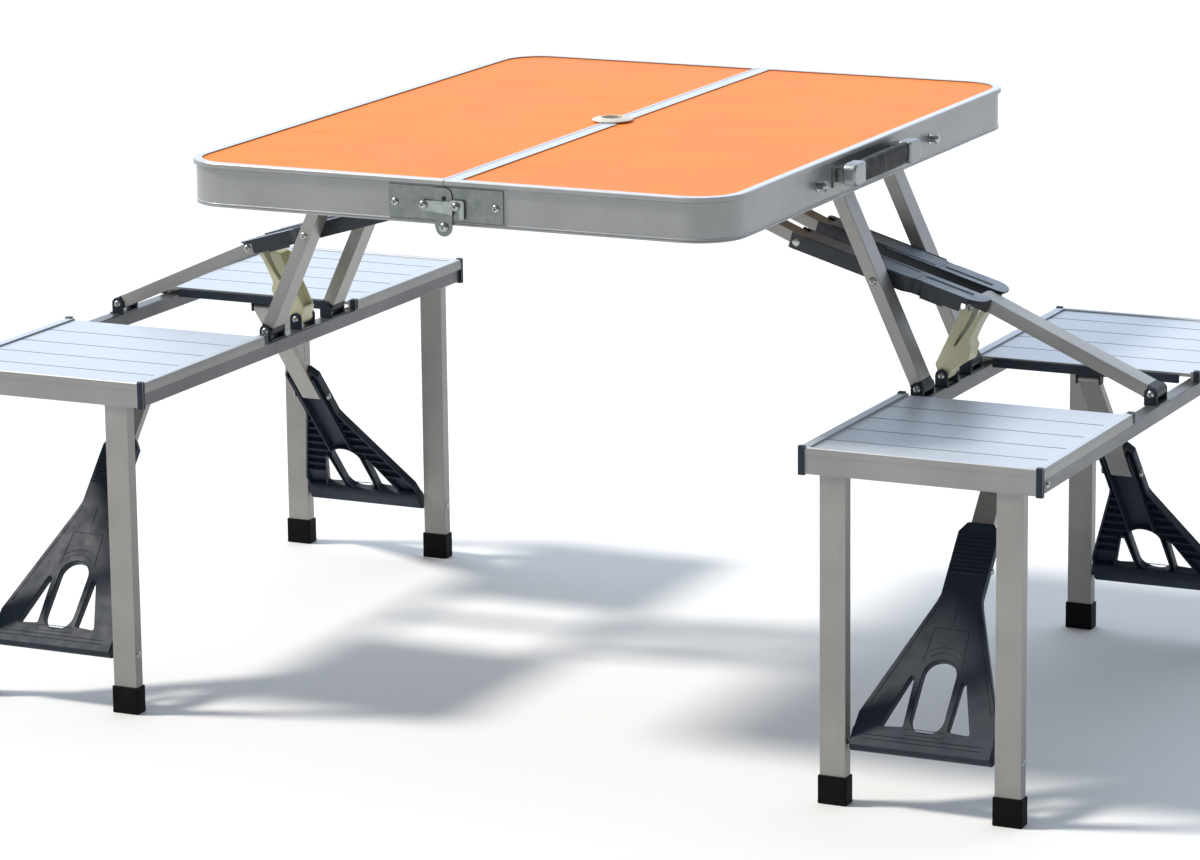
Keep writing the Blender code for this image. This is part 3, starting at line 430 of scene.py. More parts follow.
def flatten(obj):
    """Keeps large faces flat in shading where rounded edges meet them."""
    step = obj.modifiers.new("normals", "WEIGHTED_NORMAL")
    step.mode = "FACE_AREA"
    step.weight = 100
    step.keep_sharp = True


def round_edges(bm, width, segments=2):
    edges = [e for e in bm.edges if len(e.link_faces) == 2 and e.calc_face_angle(0.0) > ROUND_FROM]
    bmesh.ops.bevel(bm, geom=edges, offset=width, segments=segments, profile=0.5, affect="EDGES",
                    clamp_overlap=True)


def block(bm, x, y, z, width=0.0, segments=2):
    """A box between two corners with rounded edges, added to a mesh."""
    part = bmesh.new()
    bmesh.ops.create_cube(part, size=1.0)
    bmesh.ops.scale(part, vec=(x[1] - x[0], y[1] - y[0], z[1] - z[0]), verts=part.verts)
    bmesh.ops.translate(part, vec=((x[0] + x[1]) / 2, (y[0] + y[1]) / 2, (z[0] + z[1]) / 2), verts=part.verts)
    if width:
        round_edges(part, width, segments)
    join(bm, part)


def join(bm, part, place=None):
    """Adds one mesh to another, and frees it."""
    if place:
        bmesh.ops.transform(part, matrix=place, verts=part.verts)
    step = bpy.data.meshes.new("step")
    part.to_mesh(step)
    part.free()
    bm.from_mesh(step)
    bpy.data.meshes.remove(step)


def lathe(profile, steps=40, turn=math.tau):
    """A profile of (radius, height) turned about Z."""
    bm = bmesh.new()
    verts = [bm.verts.new((r, 0.0, z)) for r, z in profile]
    edges = [bm.edges.new(pair) for pair in zip(verts, verts[1:])]
    bmesh.ops.spin(bm, geom=edges, cent=(0, 0, 0), axis=(0, 0, 1), angle=turn, steps=steps,
                   use_merge=turn == math.tau)
    bmesh.ops.remove_doubles(bm, verts=bm.verts, dist=MERGE)
    return bm


def arc(centre, radius, start, end, steps):
    turn = [math.radians(start + (end - start) * i / steps) for i in range(steps + 1)]
    return [(centre[0] + radius * math.cos(t), centre[1] + radius * math.sin(t)) for t in turn]


def rounded(points, radius, steps=4):
    """An outline with its corners rounded, by one radius or by one for each corner."""
    out = []
    count = len(points)
    for i in range(count):
        size = radius[i] if isinstance(radius, list) else radius
        here = Vector(points[i])
        before = (Vector(points[i - 1]) - here).normalized()
        after = (Vector(points[(i + 1) % count]) - here).normalized()
        half = before.angle(after) / 2
        reach = size / math.tan(half)
        centre = here + (before + after).normalized() * (size / math.sin(half))
        first, last = here + before * reach - centre, here + after * reach - centre
        start = math.atan2(first.y, first.x)
        turn = (math.atan2(last.y, last.x) - start + math.pi) % math.tau - math.pi
        out += [(centre.x + size * math.cos(start + turn * k / steps),
                 centre.y + size * math.sin(start + turn * k / steps)) for k in range(steps + 1)]
    return out


def inset(points, by):
    """A convex or nearly convex outline pulled in by a distance, corner by corner."""
    out = []
    count = len(points)
    area = sum(points[i][0] * points[(i + 1) % count][1] - points[(i + 1) % count][0] * points[i][1]
               for i in range(count))
    way = 1.0 if area > 0 else -1.0
    for i in range(count):
        here = Vector(points[i])
        a = (here - Vector(points[i - 1])).normalized()
        b = (Vector(points[(i + 1) % count]) - here).normalized()
        na, nb = Vector((-a.y, a.x)) * way, Vector((-b.y, b.x)) * way
        middle = (na + nb).normalized()
        out.append(tuple(here + middle * (by / max(0.3, middle.dot(na)))))
    return out


def plate(outlines, low, high, edge):
    """Flat outlines, the first with the others as holes, with rounded edges between two heights."""
    curve = bpy.data.curves.new("plate", "CURVE")
    curve.dimensions = "2D"
    curve.fill_mode = "BOTH"
    curve.extrude = (high - low) / 2 - edge
    curve.bevel_depth = edge
    curve.bevel_resolution = 3 if edge > 0.0015 else 0
    curve.offset = -edge
    for outline in outlines:
        spline = curve.splines.new("POLY")
        spline.points.add(len(outline) - 1)
        for point, (u, v) in zip(spline.points, outline):
            point.co = (u, v, 0.0, 1.0)
        spline.use_cyclic_u = True
    flat = bpy.data.objects.new("plate", curve)
    bpy.context.scene.collection.objects.link(flat)
    bpy.context.view_layer.update()
    bm = bmesh.new()
    solid = bpy.data.meshes.new_from_object(flat.evaluated_get(bpy.context.evaluated_depsgraph_get()))
    bm.from_mesh(solid)
    bmesh.ops.translate(bm, vec=(0, 0, (low + high) / 2), verts=bm.verts)
    bpy.data.objects.remove(flat, do_unlink=True)
    bpy.data.meshes.remove(solid)
    return bm


STAND = {
    "X": Matrix(((0, 0, 1, 0), (1, 0, 0, 0), (0, 1, 0, 0), (0, 0, 0, 1))),
    "Y": Matrix(((1, 0, 0, 0), (0, 0, 1, 0), (0, 1, 0, 0), (0, 0, 0, 1))),
}


def standing(axis, outlines, low, high, edge):
    """A plate whose outline is (y, z) along X, or (x, z) along Y."""
    bm = plate(outlines, low, high, edge)
    bmesh.ops.transform(bm, matrix=STAND[axis], verts=bm.verts)
    return bm


def towards(axis):
    """A turn that points local Z along an axis."""
    return Vector(axis).to_track_quat("Z", "Y").to_matrix().to_4x4()


def screw_mesh():
    """A pan head of unit radius on the XY plane, with a cross recess."""
    profile = [(0.0, 0.62), (0.30, 0.60), (0.58, 0.52), (0.80, 0.38), (0.94, 0.20), (1.0, 0.04), (1.0, -0.15),
               (0.0, -0.15)]
    head = new_object("screw_head", lathe(profile, 28), MATS["screw"])
    cross = bmesh.new()
    for turn in (0.0, math.pi / 2):
        arm = bmesh.new()
        bmesh.ops.create_cone(arm, cap_ends=True, segments=4, radius1=0.10, radius2=0.62, depth=0.6)
        bmesh.ops.rotate(arm, matrix=Matrix.Rotation(math.pi / 4, 3, "Z"), verts=arm.verts)
        bmesh.ops.scale(arm, vec=(1.0, 0.30, 1.0), verts=arm.verts)
        bmesh.ops.translate(arm, vec=(0, 0, 0.46), verts=arm.verts)
        join(cross, arm, Matrix.Rotation(turn, 4, "Z"))
    cutter = new_object("screw_cross", cross, MATS["screw"])
    step = head.modifiers.new("cross", "BOOLEAN")
    step.object = cutter
    step.operation = "DIFFERENCE"
    step.solver = "EXACT"
    step.use_self = True
    bpy.context.view_layer.update()
    mesh = bpy.data.meshes.new_from_object(head.evaluated_get(bpy.context.evaluated_depsgraph_get()))
    bpy.data.objects.remove(head)
    bpy.data.objects.remove(cutter)
    return mesh


SCREW = screw_mesh()


def screw(bm, place, axis, radius, turn=0.5):
    """Adds a screw head at a place, facing along an axis."""
    part = bmesh.new()
    part.from_mesh(SCREW)
    turned = towards(axis) @ Matrix.Rotation(turn, 4, "Z")
    join(bm, part, Matrix.Translation(place) @ turned @ Matrix.Scale(radius, 4))


def flat_rivet(bm, place, axis, radius):
    """Adds a low rivet head that clears the tubes folding past it."""
    profile = [(0.0, 0.0011), (0.55, 0.0010), (0.85, 0.0006), (1.0, 0.0001), (1.0, -0.0005), (0.0, -0.0005)]
    join(bm, lathe([(r * radius, z) for r, z in profile], 28), Matrix.Translation(place) @ towards(axis))


def ride(piece, body):
    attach(piece, body)
    return piece


def flipped(source, name, sign_x, sign_y):
    """A copy of a piece that was built for the front right quarter, in another quarter."""
    made = source.copy()
    made.data = source.data.copy()
    made.name = made.data.name = name
    made.data.transform(Matrix.Diagonal((sign_x, sign_y, 1, 1)))
    if sign_x * sign_y < 0:
        made.data.flip_normals()
    bpy.context.scene.collection.objects.link(made)
    return made


def quarters(source, body, mat=None):
    """Copies a front right piece to all four quarters. Names may hold {end} and {side}."""
    pattern = source.name
    made = []
    for side, x in SIDES.items():
        for end, y in ENDS.items():
            piece = flipped(source, f"{pattern}_{end}_{side}", x, y)
            if mat:
                piece.data.materials[0] = MATS[mat.format(end=end, side=side)]
            made.append(ride(piece, body.format(end=end, side=side)))
    bpy.data.objects.remove(source)
    return made


def halves(source, body, mat=None):
    """Copies a right piece to both sides."""
    pattern = source.name
    made = []
    for side, x in SIDES.items():
        piece = flipped(source, f"{pattern}_{side}", x, 1)
        if mat:
            piece.data.materials[0] = MATS[mat.format(side=side)]
        made.append(ride(piece, body.format(side=side)))
    bpy.data.objects.remove(source)
    return made


# ---------------------------------------------------------------- frame nodes shown, with rounded edges

def smoothing_group():
    """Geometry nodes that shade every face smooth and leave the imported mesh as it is."""
    group = bpy.data.node_groups.new("shade_smooth", "GeometryNodeTree")
    group.interface.new_socket("Geometry", in_out="INPUT", socket_type="NodeSocketGeometry")
    group.interface.new_socket("Geometry", in_out="OUTPUT", socket_type="NodeSocketGeometry")
    start = group.nodes.new("NodeGroupInput")
    shade = group.nodes.new("GeometryNodeSetShadeSmooth")
    end = group.nodes.new("NodeGroupOutput")
    group.links.new(start.outputs[0], shade.inputs[0])
    group.links.new(shade.outputs[0], end.inputs[0])
    return group


SMOOTH = smoothing_group()


def keep(node, mat, width, segments=2, angle=38.0):
    """Gives a frame node its material and, where a width is given, rounds its edges with modifiers."""
    obj = NODES[node]
    obj.material_slots[0].material = MATS[mat]
    if not width:
        return
    weld = obj.modifiers.new("weld", "WELD")
    weld.merge_threshold = 2e-6
    flat = obj.modifiers.new("flat", "DECIMATE")
    flat.decimate_type = "DISSOLVE"
    flat.angle_limit = math.radians(0.6)
    obj.modifiers.new("smooth", "NODES").node_group = SMOOTH
    edge = obj.modifiers.new("edge", "BEVEL")
    edge.width = width
    edge.segments = segments
    edge.limit_method = "ANGLE"
    edge.angle_limit = math.radians(angle)
    edge.harden_normals = True
    flatten(obj)


# Widths of the rounded edges, from pressed sheet to the wide corners of the drawn tubes
RIM_EDGE = 0.0002
RIM_ANGLE = 28.0
SHEET_EDGE = 0.0003
RAIL_EDGE = 0.0004
DECK_EDGE = 0.0005
MOULDED_EDGE = 0.0006
BAR_EDGE = 0.0007
STAY_EDGE = 0.0009
ARM_EDGE = 0.0010
SEAT_LEG_EDGE = 0.0011
MAIN_LEG_EDGE = 0.0012
TUBE_STEPS = 3


def keep_all():
    for side in SIDES:
        keep(f"table_frame_{side}", "rim", RIM_EDGE, angle=RIM_ANGLE)
        keep(f"table_panel_{side}", "laminate", None)
        keep(f"pivot_plate_{side}", "steel", SHEET_EDGE)
        keep(f"link_bars_{side}", f"bar_{side}", BAR_EDGE)
        keep(f"outer_brace_{side}", f"tube_{side}", BAR_EDGE)
        keep(f"lock_lever_{side}", "cream", MOULDED_EDGE)
        for rail in ("inner_rail", "outer_rail"):
            keep(f"{rail}_{side}", "rail", RAIL_EDGE)
        for end in ENDS:
            keep(f"main_leg_{end}_{side}", f"leg_{side}", MAIN_LEG_EDGE, TUBE_STEPS)
            keep(f"arm_{end}_{side}", "arm", ARM_EDGE, TUBE_STEPS)
            keep(f"clevis_{end}_{side}", "slate", MOULDED_EDGE)
            keep(f"seat_deck_{end}_{side}", "seat", DECK_EDGE)
            for leg in ("seat_leg_inner", "seat_leg_outer"):
                keep(f"{leg}_{end}_{side}", "seat_leg", SEAT_LEG_EDGE, TUBE_STEPS)
            keep(f"brace_stay_{end}_{side}", f"stay_{end}", STAY_EDGE)
            keep(f"latch_plate_{end}_{side}", "zinc", None)
    for end in ENDS:
        keep(f"latch_hook_{end}", "hook", SHEET_EDGE)


# ---------------------------------------------------------------- table

RING_LOW = 0.6400
RING_TOP = 0.6603
RING_HOLE = 0.0120
RING_SLEEVE = 0.0148
RING_FLANGE = 0.0235
SEAM_GAP = 0.0002


def build_rings():
    """The two halves of the plastic ring in the middle of the top."""
    low, top = RING_LOW, RING_TOP
    profile = [(RING_HOLE, low), (RING_SLEEVE, low), (RING_SLEEVE, top), (RING_FLANGE, top),
               (0.0237, top + 0.0005), (0.0234, top + 0.0011), (0.0222, top + 0.0018), (0.0150, top + 0.0034),
               (0.0136, top + 0.0037), (0.0126, top + 0.0035), (0.0121, top + 0.0028), (RING_HOLE, low)]
    bm = lathe(profile, 36, math.pi)
    bmesh.ops.rotate(bm, matrix=Matrix.Rotation(-math.pi / 2, 3, "Z"), verts=bm.verts)
    bmesh.ops.translate(bm, vec=(SEAM_GAP, 0, 0), verts=bm.verts)
    bmesh.ops.remove_doubles(bm, verts=bm.verts, dist=MERGE)
    bmesh.ops.holes_fill(bm, edges=bm.edges, sides=0)
    made = halves(new_object("hole_ring", bm, MATS["ring"], 50.0), "{side}_half")
    for piece, side in zip(made, SIDES):
        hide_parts(f"pole_ring_{side}")


PLATE_FACE = LATCH_FACE + 0.0014
TONGUE_FACE = LATCH_FACE + 0.0032
HINGE_FACE = LATCH_FACE + 0.0040
PIN_FACE = LATCH_FACE + 0.0066
PLATE_SCREW_X = {"left": -0.0605, "right": 0.0620}
PLATE_SCREW = 0.0048
HOOK_PIN = (-0.0240, LATCH_Z, 0.0050, 0.9)
HINGE_PIN = (0.0, 0.6080, 0.0056, 0.4)
CATCH_PIN = (0.0157, LATCH_Z, 0.0050, 0.2)
# Where a black disc is painted as the shade inside the hole in the tongue
TONGUE_HOLE_SHADE = (0.0005, 0.6400)


def latch_pin(bm, way, face, pin):
    """A pin head on a latch, given as its x, height, radius and turn."""
    x, z, radius, turn = pin
    screw(bm, (x, -way * face, z), (0, -way, 0), radius, turn)


def build_latches():
    """Screws and pin heads of the two latches, and a black disc painted as the shade in the hole of each
    tongue.
    """
    for end, way in ENDS.items():
        for side, x in PLATE_SCREW_X.items():
            bm = bmesh.new()
            latch_pin(bm, way, PLATE_FACE, (x, LATCH_Z, PLATE_SCREW, 0.3 + x * 9))
            ride(new_object(f"latch_screw_{end}_{side}", bm, MATS["screw"]), f"{side}_half")
        bm = bmesh.new()
        latch_pin(bm, way, PIN_FACE, HOOK_PIN)
        latch_pin(bm, way, HINGE_FACE, HINGE_PIN)
        ride(new_object(f"hinge_screws_{end}", bm, MATS["screw"]), "left_half")
        # Painted shade: a thin black disc where the tongue has a hole.
        profile = [(0.0, 0.0004), (0.0024, 0.0004), (0.0027, 0.0001), (0.0027, -0.0006), (0.0, -0.0006)]
        dot = lathe(profile, 24)
        bm = bmesh.new()
        place = Matrix.Translation((TONGUE_HOLE_SHADE[0], -way * TONGUE_FACE, TONGUE_HOLE_SHADE[1]))
        join(bm, dot, place @ towards((0, -way, 0)))
        ride(new_object(f"tongue_plug_{end}", bm, MATS["black"]), "left_half")
        bm = bmesh.new()
        latch_pin(bm, way, PIN_FACE, CATCH_PIN)
        ride(new_object(f"catch_head_{end}", bm, MATS["screw"]), "right_half")


HANDLE_Y = (-0.1340, 0.0640)
HANDLE_CAP = 0.0330
HANDLE_Z = (0.6262, 0.6520)
CAP_X = (0.3436, 0.3594)
CAP_EDGE = 0.0028
CAP_OUTER_R = 0.0090
CAP_INNER_R = 0.0036
POST_X = (0.3330, 0.3450)
POST_Z = (0.6290, 0.6460)
PAD_X = (0.3316, 0.3340)
PAD_Z = (0.6245, 0.6465)
PAD_SCREW_Z = 0.6355
GRIP_CENTRE = (0.3515, 0.6391)
GRIP_HALF = (0.0060, 0.0118)
GRIP_TUCK = 0.0260
GRIP_STEPS = 46
GRIP_SIDES = 32
GRIP_SQUARE = 0.55
STUD_Y = (-0.175, 0.160)
STUD_FACE = 0.3315
STUD_Z = 0.6335


def squared(value, half):
    """One coordinate of a round section drawn squarer than an ellipse."""
    return math.copysign(abs(value) ** GRIP_SQUARE, value) * half


def grip_swell(i):
    """How much the grip widens at a step: a gentle belly, with ribs away from its ends."""
    rib = i % 4 < 2 and 5 < i < GRIP_STEPS - 5
    return 1.0 + 0.05 * math.sin(math.pi * i / GRIP_STEPS) + (0.018 if rib else 0.0)


def build_grip():
    """The ribbed grip of the carry handle, as rings along its length."""
    grip = bmesh.new()
    rows = []
    low, high = HANDLE_Y[0] + GRIP_TUCK, HANDLE_Y[1] - GRIP_TUCK
    for i in range(GRIP_STEPS + 1):
        swell = grip_swell(i)
        ring = []
        for k in range(GRIP_SIDES):
            t = math.tau * k / GRIP_SIDES
            px = squared(math.cos(t), GRIP_HALF[0]) * swell
            pz = squared(math.sin(t), GRIP_HALF[1]) * swell
            y = low + (high - low) * i / GRIP_STEPS
            ring.append(grip.verts.new((GRIP_CENTRE[0] + px, y, GRIP_CENTRE[1] + pz)))
        rows.append(ring)
    for a, b in zip(rows, rows[1:]):
        for k in range(GRIP_SIDES):
            after = (k + 1) % GRIP_SIDES
            grip.faces.new((a[k], a[after], b[after], b[k]))
    grip.faces.new(rows[0])
    grip.faces.new(rows[-1])
    ride(new_object("handle_grip", grip, MATS["grip"], 50.0), "right_half")


def build_handle():
    """The satin caps, posts and pads at the ends of the carry handle."""
    caps, pads = bmesh.new(), bmesh.new()
    low, high = HANDLE_Z
    for outer, way in zip(HANDLE_Y, (1, -1)):
        inner = outer + way * HANDLE_CAP
        middle = (outer + inner) / 2
        corners = [(outer, low), (outer, high), (inner, high), (inner, low)]
        outline = rounded(corners, [CAP_OUTER_R, CAP_OUTER_R, CAP_INNER_R, CAP_INNER_R], 8)
        join(caps, standing("X", [outline], *CAP_X, CAP_EDGE))
        block(caps, POST_X, (middle - 0.0085, middle + 0.0085), POST_Z, 0.0025, 3)
        block(pads, PAD_X, (middle - 0.0170, middle + 0.0150), PAD_Z, 0.0006)
        for y in (middle - 0.0128, middle + 0.0112):
            screw(pads, (0.3338, y, PAD_SCREW_Z), X_WAY, 0.0026, y * 40)
    made = ride(new_object("handle_caps", caps, MATS["satin"]), "right_half")
    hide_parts("carry_handle")
    ride(new_object("handle_pads", pads, MATS["zinc"]), "right_half")


def build_studs():
    """The two headed studs on the right rim that the closed case stands on."""
    studs = bmesh.new()
    profile = [(0.0, 0.0120), (0.0022, 0.0119), (0.0040, 0.0113), (0.0056, 0.0102), (0.0061, 0.0094),
               (0.0060, 0.0084), (0.0040, 0.0080), (0.0037, 0.0074), (0.0037, 0.0012), (0.0062, 0.0009),
               (0.0064, -0.0005), (0.0, -0.0005)]
    for y in STUD_Y:
        place = Matrix.Translation((STUD_FACE, y, STUD_Z)) @ Matrix.Rotation(math.pi / 2, 4, "Y")
        join(studs, lathe(profile, 32), place)
    made = ride(new_object("rim_studs", studs, MATS["screw"], 40.0), "right_half")
    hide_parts("case_stud_front", "case_stud_rear")


# ---------------------------------------------------------------- scissor frame

# An arm's own frame starts at the crossing: x along it, y across the table, z above its axis
ARM_PLACE = Matrix.Translation((CROSS.x, 0, CROSS.y)) @ Matrix.Rotation(ARM_DROP, 4, "Y")
ARM_TOP = 0.0086
RIB_TOP = 0.0098
RAISED_TOP = 0.0100
ARM_FACE = -0.0585
KNUCKLE_FACE = -0.0500
ARM_SCREW = 0.0046


def build_arms():
    """Ribs and screws of the four plastic arms."""
    bm = bmesh.new()
    for y in (-0.0281, -0.0320):
        block(bm, (0.0390, 0.0990), (y - 0.0006, y + 0.0006), (ARM_TOP, RIB_TOP), 0.0004)
    block(bm, (0.0340, 0.0352), (-0.0520, -0.0170), (ARM_TOP, 0.0097), 0.0004)
    for y in ((-0.0572, -0.0556), (-0.0232, -0.0216)):
        block(bm, (-0.1040, 0.0300), y, (ARM_TOP, RAISED_TOP), 0.0005)
    bmesh.ops.transform(bm, matrix=ARM_PLACE, verts=bm.verts)
    quarters(new_object("arm_ribs", bm, MATS["arm"]), "arms_{side}")
    bm = bmesh.new()
    flat_rivet(bm, (LINK.x, ARM_FACE, LINK.y), FRONT, ARM_SCREW)
    screw(bm, (KNUCKLE.x, KNUCKLE_FACE, KNUCKLE.y), FRONT, ARM_SCREW, 0.1)
    quarters(new_object("arm_screws", bm, MATS["screw"]), "arms_{side}")


LEG_SPAN_Y = (-0.0900, -0.0600)
BRACE_SPAN_Y = (-0.0150, 0.0150)
CAP_HALF = 0.00775
CAP_GROWTH = 0.0001
CAP_ROUND = 0.0008
TOP_BRACKET_FACE = -0.0923
SEAT_BRACKET_FACE = -0.0928
MIDDLE_BRACKET_FACE = -0.0178
RAIL_SCREW = (0.6780, -0.3800, 0.3735)
CHEEK_HALF = 0.0077
CHEEK_LOW = 0.3815
CHEEK_Y = (0.0152, 0.0180)
FOOT_PLATE_Z = (0.3812, 0.3822)
FOOT_PLATE_Y = 0.0180
SHELLS = {"outer": (OUTER_PIVOT, (0.6583, 0.6772)), "inner": (SEAT_PIVOT, (0.4076, 0.4252))}


def end_cap(centre, way, y, length):
    """A plastic cap over the round end of a tube in the plane across the seam."""
    angle = math.degrees(math.atan2(way.y, way.x))
    inner = centre + way * length
    corners = [arc(tuple(inner), CAP_HALF, side, side, 1)[0] for side in (angle - 90, angle + 90)]
    outline = corners + arc(tuple(centre), CAP_HALF, angle + 90, angle + 270, 16)
    return standing("Y", [outline], y[0] - CAP_GROWTH, y[1] + CAP_GROWTH, CAP_ROUND)


def clevis_shell(name, centre, foot):
    """A moulded shell round a bracket in the middle of a rail: two cheeks on a foot plate."""
    bm = bmesh.new()
    for y in (-1, 1):
        cheek = [(centre.x + CHEEK_HALF, CHEEK_LOW)]
        cheek += arc(tuple(centre), CHEEK_HALF, 0, 180, 14)
        cheek += [(centre.x - CHEEK_HALF, CHEEK_LOW)]
        low, high = sorted(y * edge for edge in CHEEK_Y)
        join(bm, standing("Y", [cheek], low, high, 0.0005))
    block(bm, foot, (-FOOT_PLATE_Y, FOOT_PLATE_Y), FOOT_PLATE_Z, 0.0005)
    halves(new_object(f"{name}_clevis_shell", bm, MATS["slate"]), "seats_{side}")


def build_leg_details():
    """Screws and end caps of the main legs and outer braces, and screws of the clevises."""
    bm = bmesh.new()
    join(bm, end_cap(SEAT_PIVOT, (TOP_PIVOT - SEAT_PIVOT).normalized(), LEG_SPAN_Y, 0.0075))
    quarters(new_object("leg_end_cap", bm, MATS["black"]), "main_legs_{side}")
    bm = bmesh.new()
    screw(bm, (CROSS.x, LEG_SPAN_Y[0], CROSS.y), FRONT, 0.0048, 0.4)
    screw(bm, (TOP_PIVOT.x, TOP_BRACKET_FACE, TOP_PIVOT.y), FRONT, 0.0044, 0.7)
    quarters(new_object("leg_screws", bm, MATS["screw"]), "main_legs_{side}")
    bm = bmesh.new()
    screw(bm, (SEAT_PIVOT.x, SEAT_BRACKET_FACE, SEAT_PIVOT.y), FRONT, 0.0044, 0.2)
    screw(bm, RAIL_SCREW, X_WAY, 0.0042, 0.5)
    screw(bm, (OUTER_PIVOT.x, MIDDLE_BRACKET_FACE, OUTER_PIVOT.y), FRONT, 0.0044, 0.8)
    screw(bm, (SEAT_PIVOT.x, MIDDLE_BRACKET_FACE, SEAT_PIVOT.y), FRONT, 0.0040, 0.5)
    quarters(new_object("seat_frame_screws", bm, MATS["screw"]), "seats_{side}")
    bm = bmesh.new()
    join(bm, end_cap(OUTER_PIVOT, (KNUCKLE - OUTER_PIVOT).normalized(), BRACE_SPAN_Y, 0.0080))
    halves(new_object("brace_end_cap", bm, MATS["black"]), "outer_brace_{side}")
    for name, (centre, foot) in SHELLS.items():
        clevis_shell(name, centre, foot)


# ---------------------------------------------------------------- seats

TRIM_X = ((0.4038, 0.4146), (0.6694, 0.6802))
TRIM_Y = (-0.3962, -0.1165)
TRIM_LOW = 0.3820
TRIM_AXIS = 0.3892
NOSE_X = (0.4114, 0.6726)
NOSE_CENTRE = (-0.3977, 0.3916)
NOSE_R = 0.0028
GROOVES_Y = (-0.172, -0.233, -0.291, -0.348)
GROOVE_HALF = 0.0009
GROOVE_X = (0.4147, 0.6693)
GROOVE_Z = (0.3901, 0.3916)
CORNER_X = ((0.4032, 0.4115), (0.6725, 0.6808))
CORNER_FRONT = ((-0.4013, -0.3958), (0.3632, 0.3959))
CORNER_BACK = ((-0.1173, -0.1097), (0.3822, 0.3959))
BACK_STRIP = ((0.4298, 0.6552), (-0.1148, -0.1102), (0.3800, 0.3898))
EAR_X = (0.0131, 0.0152)
LEG_HALF_Y = 0.0093
FOOT_HIGH = 0.0322


def build_seat_details():
    """Trims, rounded front edges, dark strips of painted shade in the grooves, corner caps and stay brackets
    of the four seats.
    """
    trims = bmesh.new()
    for low, high in TRIM_X:
        outline = [(low, TRIM_LOW), (high, TRIM_LOW)]
        outline += arc(((low + high) / 2, TRIM_AXIS), (high - low) / 2, 0, 180, 14)
        join(trims, standing("Y", [outline], *TRIM_Y, 0.0003))
    nose = [(-0.3935, 0.3915), (-0.3960, 0.3860), (-0.4005, 0.3860)]
    nose += arc(NOSE_CENTRE, NOSE_R, 180, 90, 8) + [(-0.3955, 0.3940), (-0.3940, 0.3927)]
    join(trims, standing("X", [nose], *NOSE_X, 0.0002))
    quarters(new_object("seat_trims", trims, MATS["seat"], 50.0), "seats_{side}")
    # Painted shade: dark strips sunk in the grooves between the slats stand in for the shade inside them.
    lines = bmesh.new()
    for y in GROOVES_Y:
        block(lines, GROOVE_X, (y - GROOVE_HALF, y + GROOVE_HALF), GROOVE_Z, 0.0002, 1)
    quarters(new_object("seat_grooves", lines, MATS["rail"]), "seats_{side}")
    caps = bmesh.new()
    for x in CORNER_X:
        block(caps, x, *CORNER_FRONT, 0.0013, 3)
        block(caps, x, *CORNER_BACK, 0.0013, 3)
    block(caps, *BACK_STRIP, 0.0008)
    quarters(new_object("seat_caps", caps, MATS["slate"]), "seats_{side}")
    under = bmesh.new()
    ear = [(-0.1208, 0.3885), (-0.1228, 0.3668), (-0.1332, 0.3668), (-0.1352, 0.3885)]
    for sign in (-1, 1):
        low, high = sorted(SEAT_MID_X + sign * edge for edge in EAR_X)
        join(under, standing("X", [ear], low, high, 0.0004))
    wide = (SEAT_MID_X - EAR_X[1], SEAT_MID_X + EAR_X[1])
    block(under, wide, (-0.1370, -0.1190), (0.3845, 0.3882), 0.0006)
    quarters(new_object("stay_bracket", under, MATS["black"]), "seats_{side}")


def grown(span, by):
    return (span[0] - by, span[1] + by)


def build_seat_feet():
    """A rubber shoe on each seat leg, with a low lip at the floor, and the rivets of the fan's pivot."""
    y = (-FOLD_Y - LEG_HALF_Y, -FOLD_Y + LEG_HALF_Y)
    for name, x in zip(("inner", "outer"), SEAT_LEG_X):
        foot = bmesh.new()
        block(foot, grown(x, 0.0017), grown(y, 0.0002), (0.0, FOOT_HIGH), 0.0013, 3)
        block(foot, grown(x, 0.0018), grown(y, 0.0003), (0.0006, 0.0046), 0.0010)
        quarters(new_object(f"foot_{name}", foot, MATS["rubber"]), "seat_legs_{end}_{side}")
        rivets = bmesh.new()
        for face, way in zip(x, (-1, 1)):
            flat_rivet(rivets, (face, -FOLD_Y, BRACE_Z), (way, 0, 0), 0.0040)
        made = new_object(f"leg_pivot_{name}", rivets, MATS["screw"])
        quarters(made, "seat_legs_{end}_{side}")


# ---------------------------------------------------------------- fan braces

# A fan's own frame starts at the pivot between the legs: x across it, y up towards the knee, z to its front
FAN_PLACE = Matrix.Translation((SEAT_MID_X, -FOLD_Y, BRACE_Z)) @ Matrix.Rotation(FAN_SLOPE, 4, "X")
FAN_EDGE = 0.0028
FACE_Z = (0.0052, 0.0086)
WALL_Z = (-0.0015, 0.0062)
COLLAR_Z = (-0.0008, 0.0062)
RIB_Z = (-0.0012, 0.0060)
LINE_Z = (0.0080, 0.0091)
FINE_LINE_Z = (0.0080, 0.0090)
BASE_LINE_Z = (0.0081, 0.0092)
LINE_WIDTH = 0.0007
OVAL_U = (0.0350, 0.0860)
OVAL_R = 0.0190
COLLAR_R = 0.0212
RIB_HALF = 0.0007
RIB_PITCH = 0.0120
CROSS_RIBS_U = [0.052 + 0.016 * k for k in range(8)]
NECK_RIB_U = 0.2110
NECK_RIB_PITCH = 0.0051
NECK_RIB_COUNT = 10
PIVOT_BAR_R = 0.0079
PIVOT_BAR_HALF = 0.0816
KNEE_HALF = 0.0236


def fan_outline():
    """The fan seen from its front: a wide foot, straight flanks and a narrow neck."""
    half = [(-0.0060, 0.0815), (0.0340, 0.0795), (0.1740, 0.0262), (0.1830, 0.0236), (0.2610, 0.0236),
            (0.2730, 0.0155)]
    return [(w, u) for u, w in half] + [(-w, u) for u, w in reversed(half)]


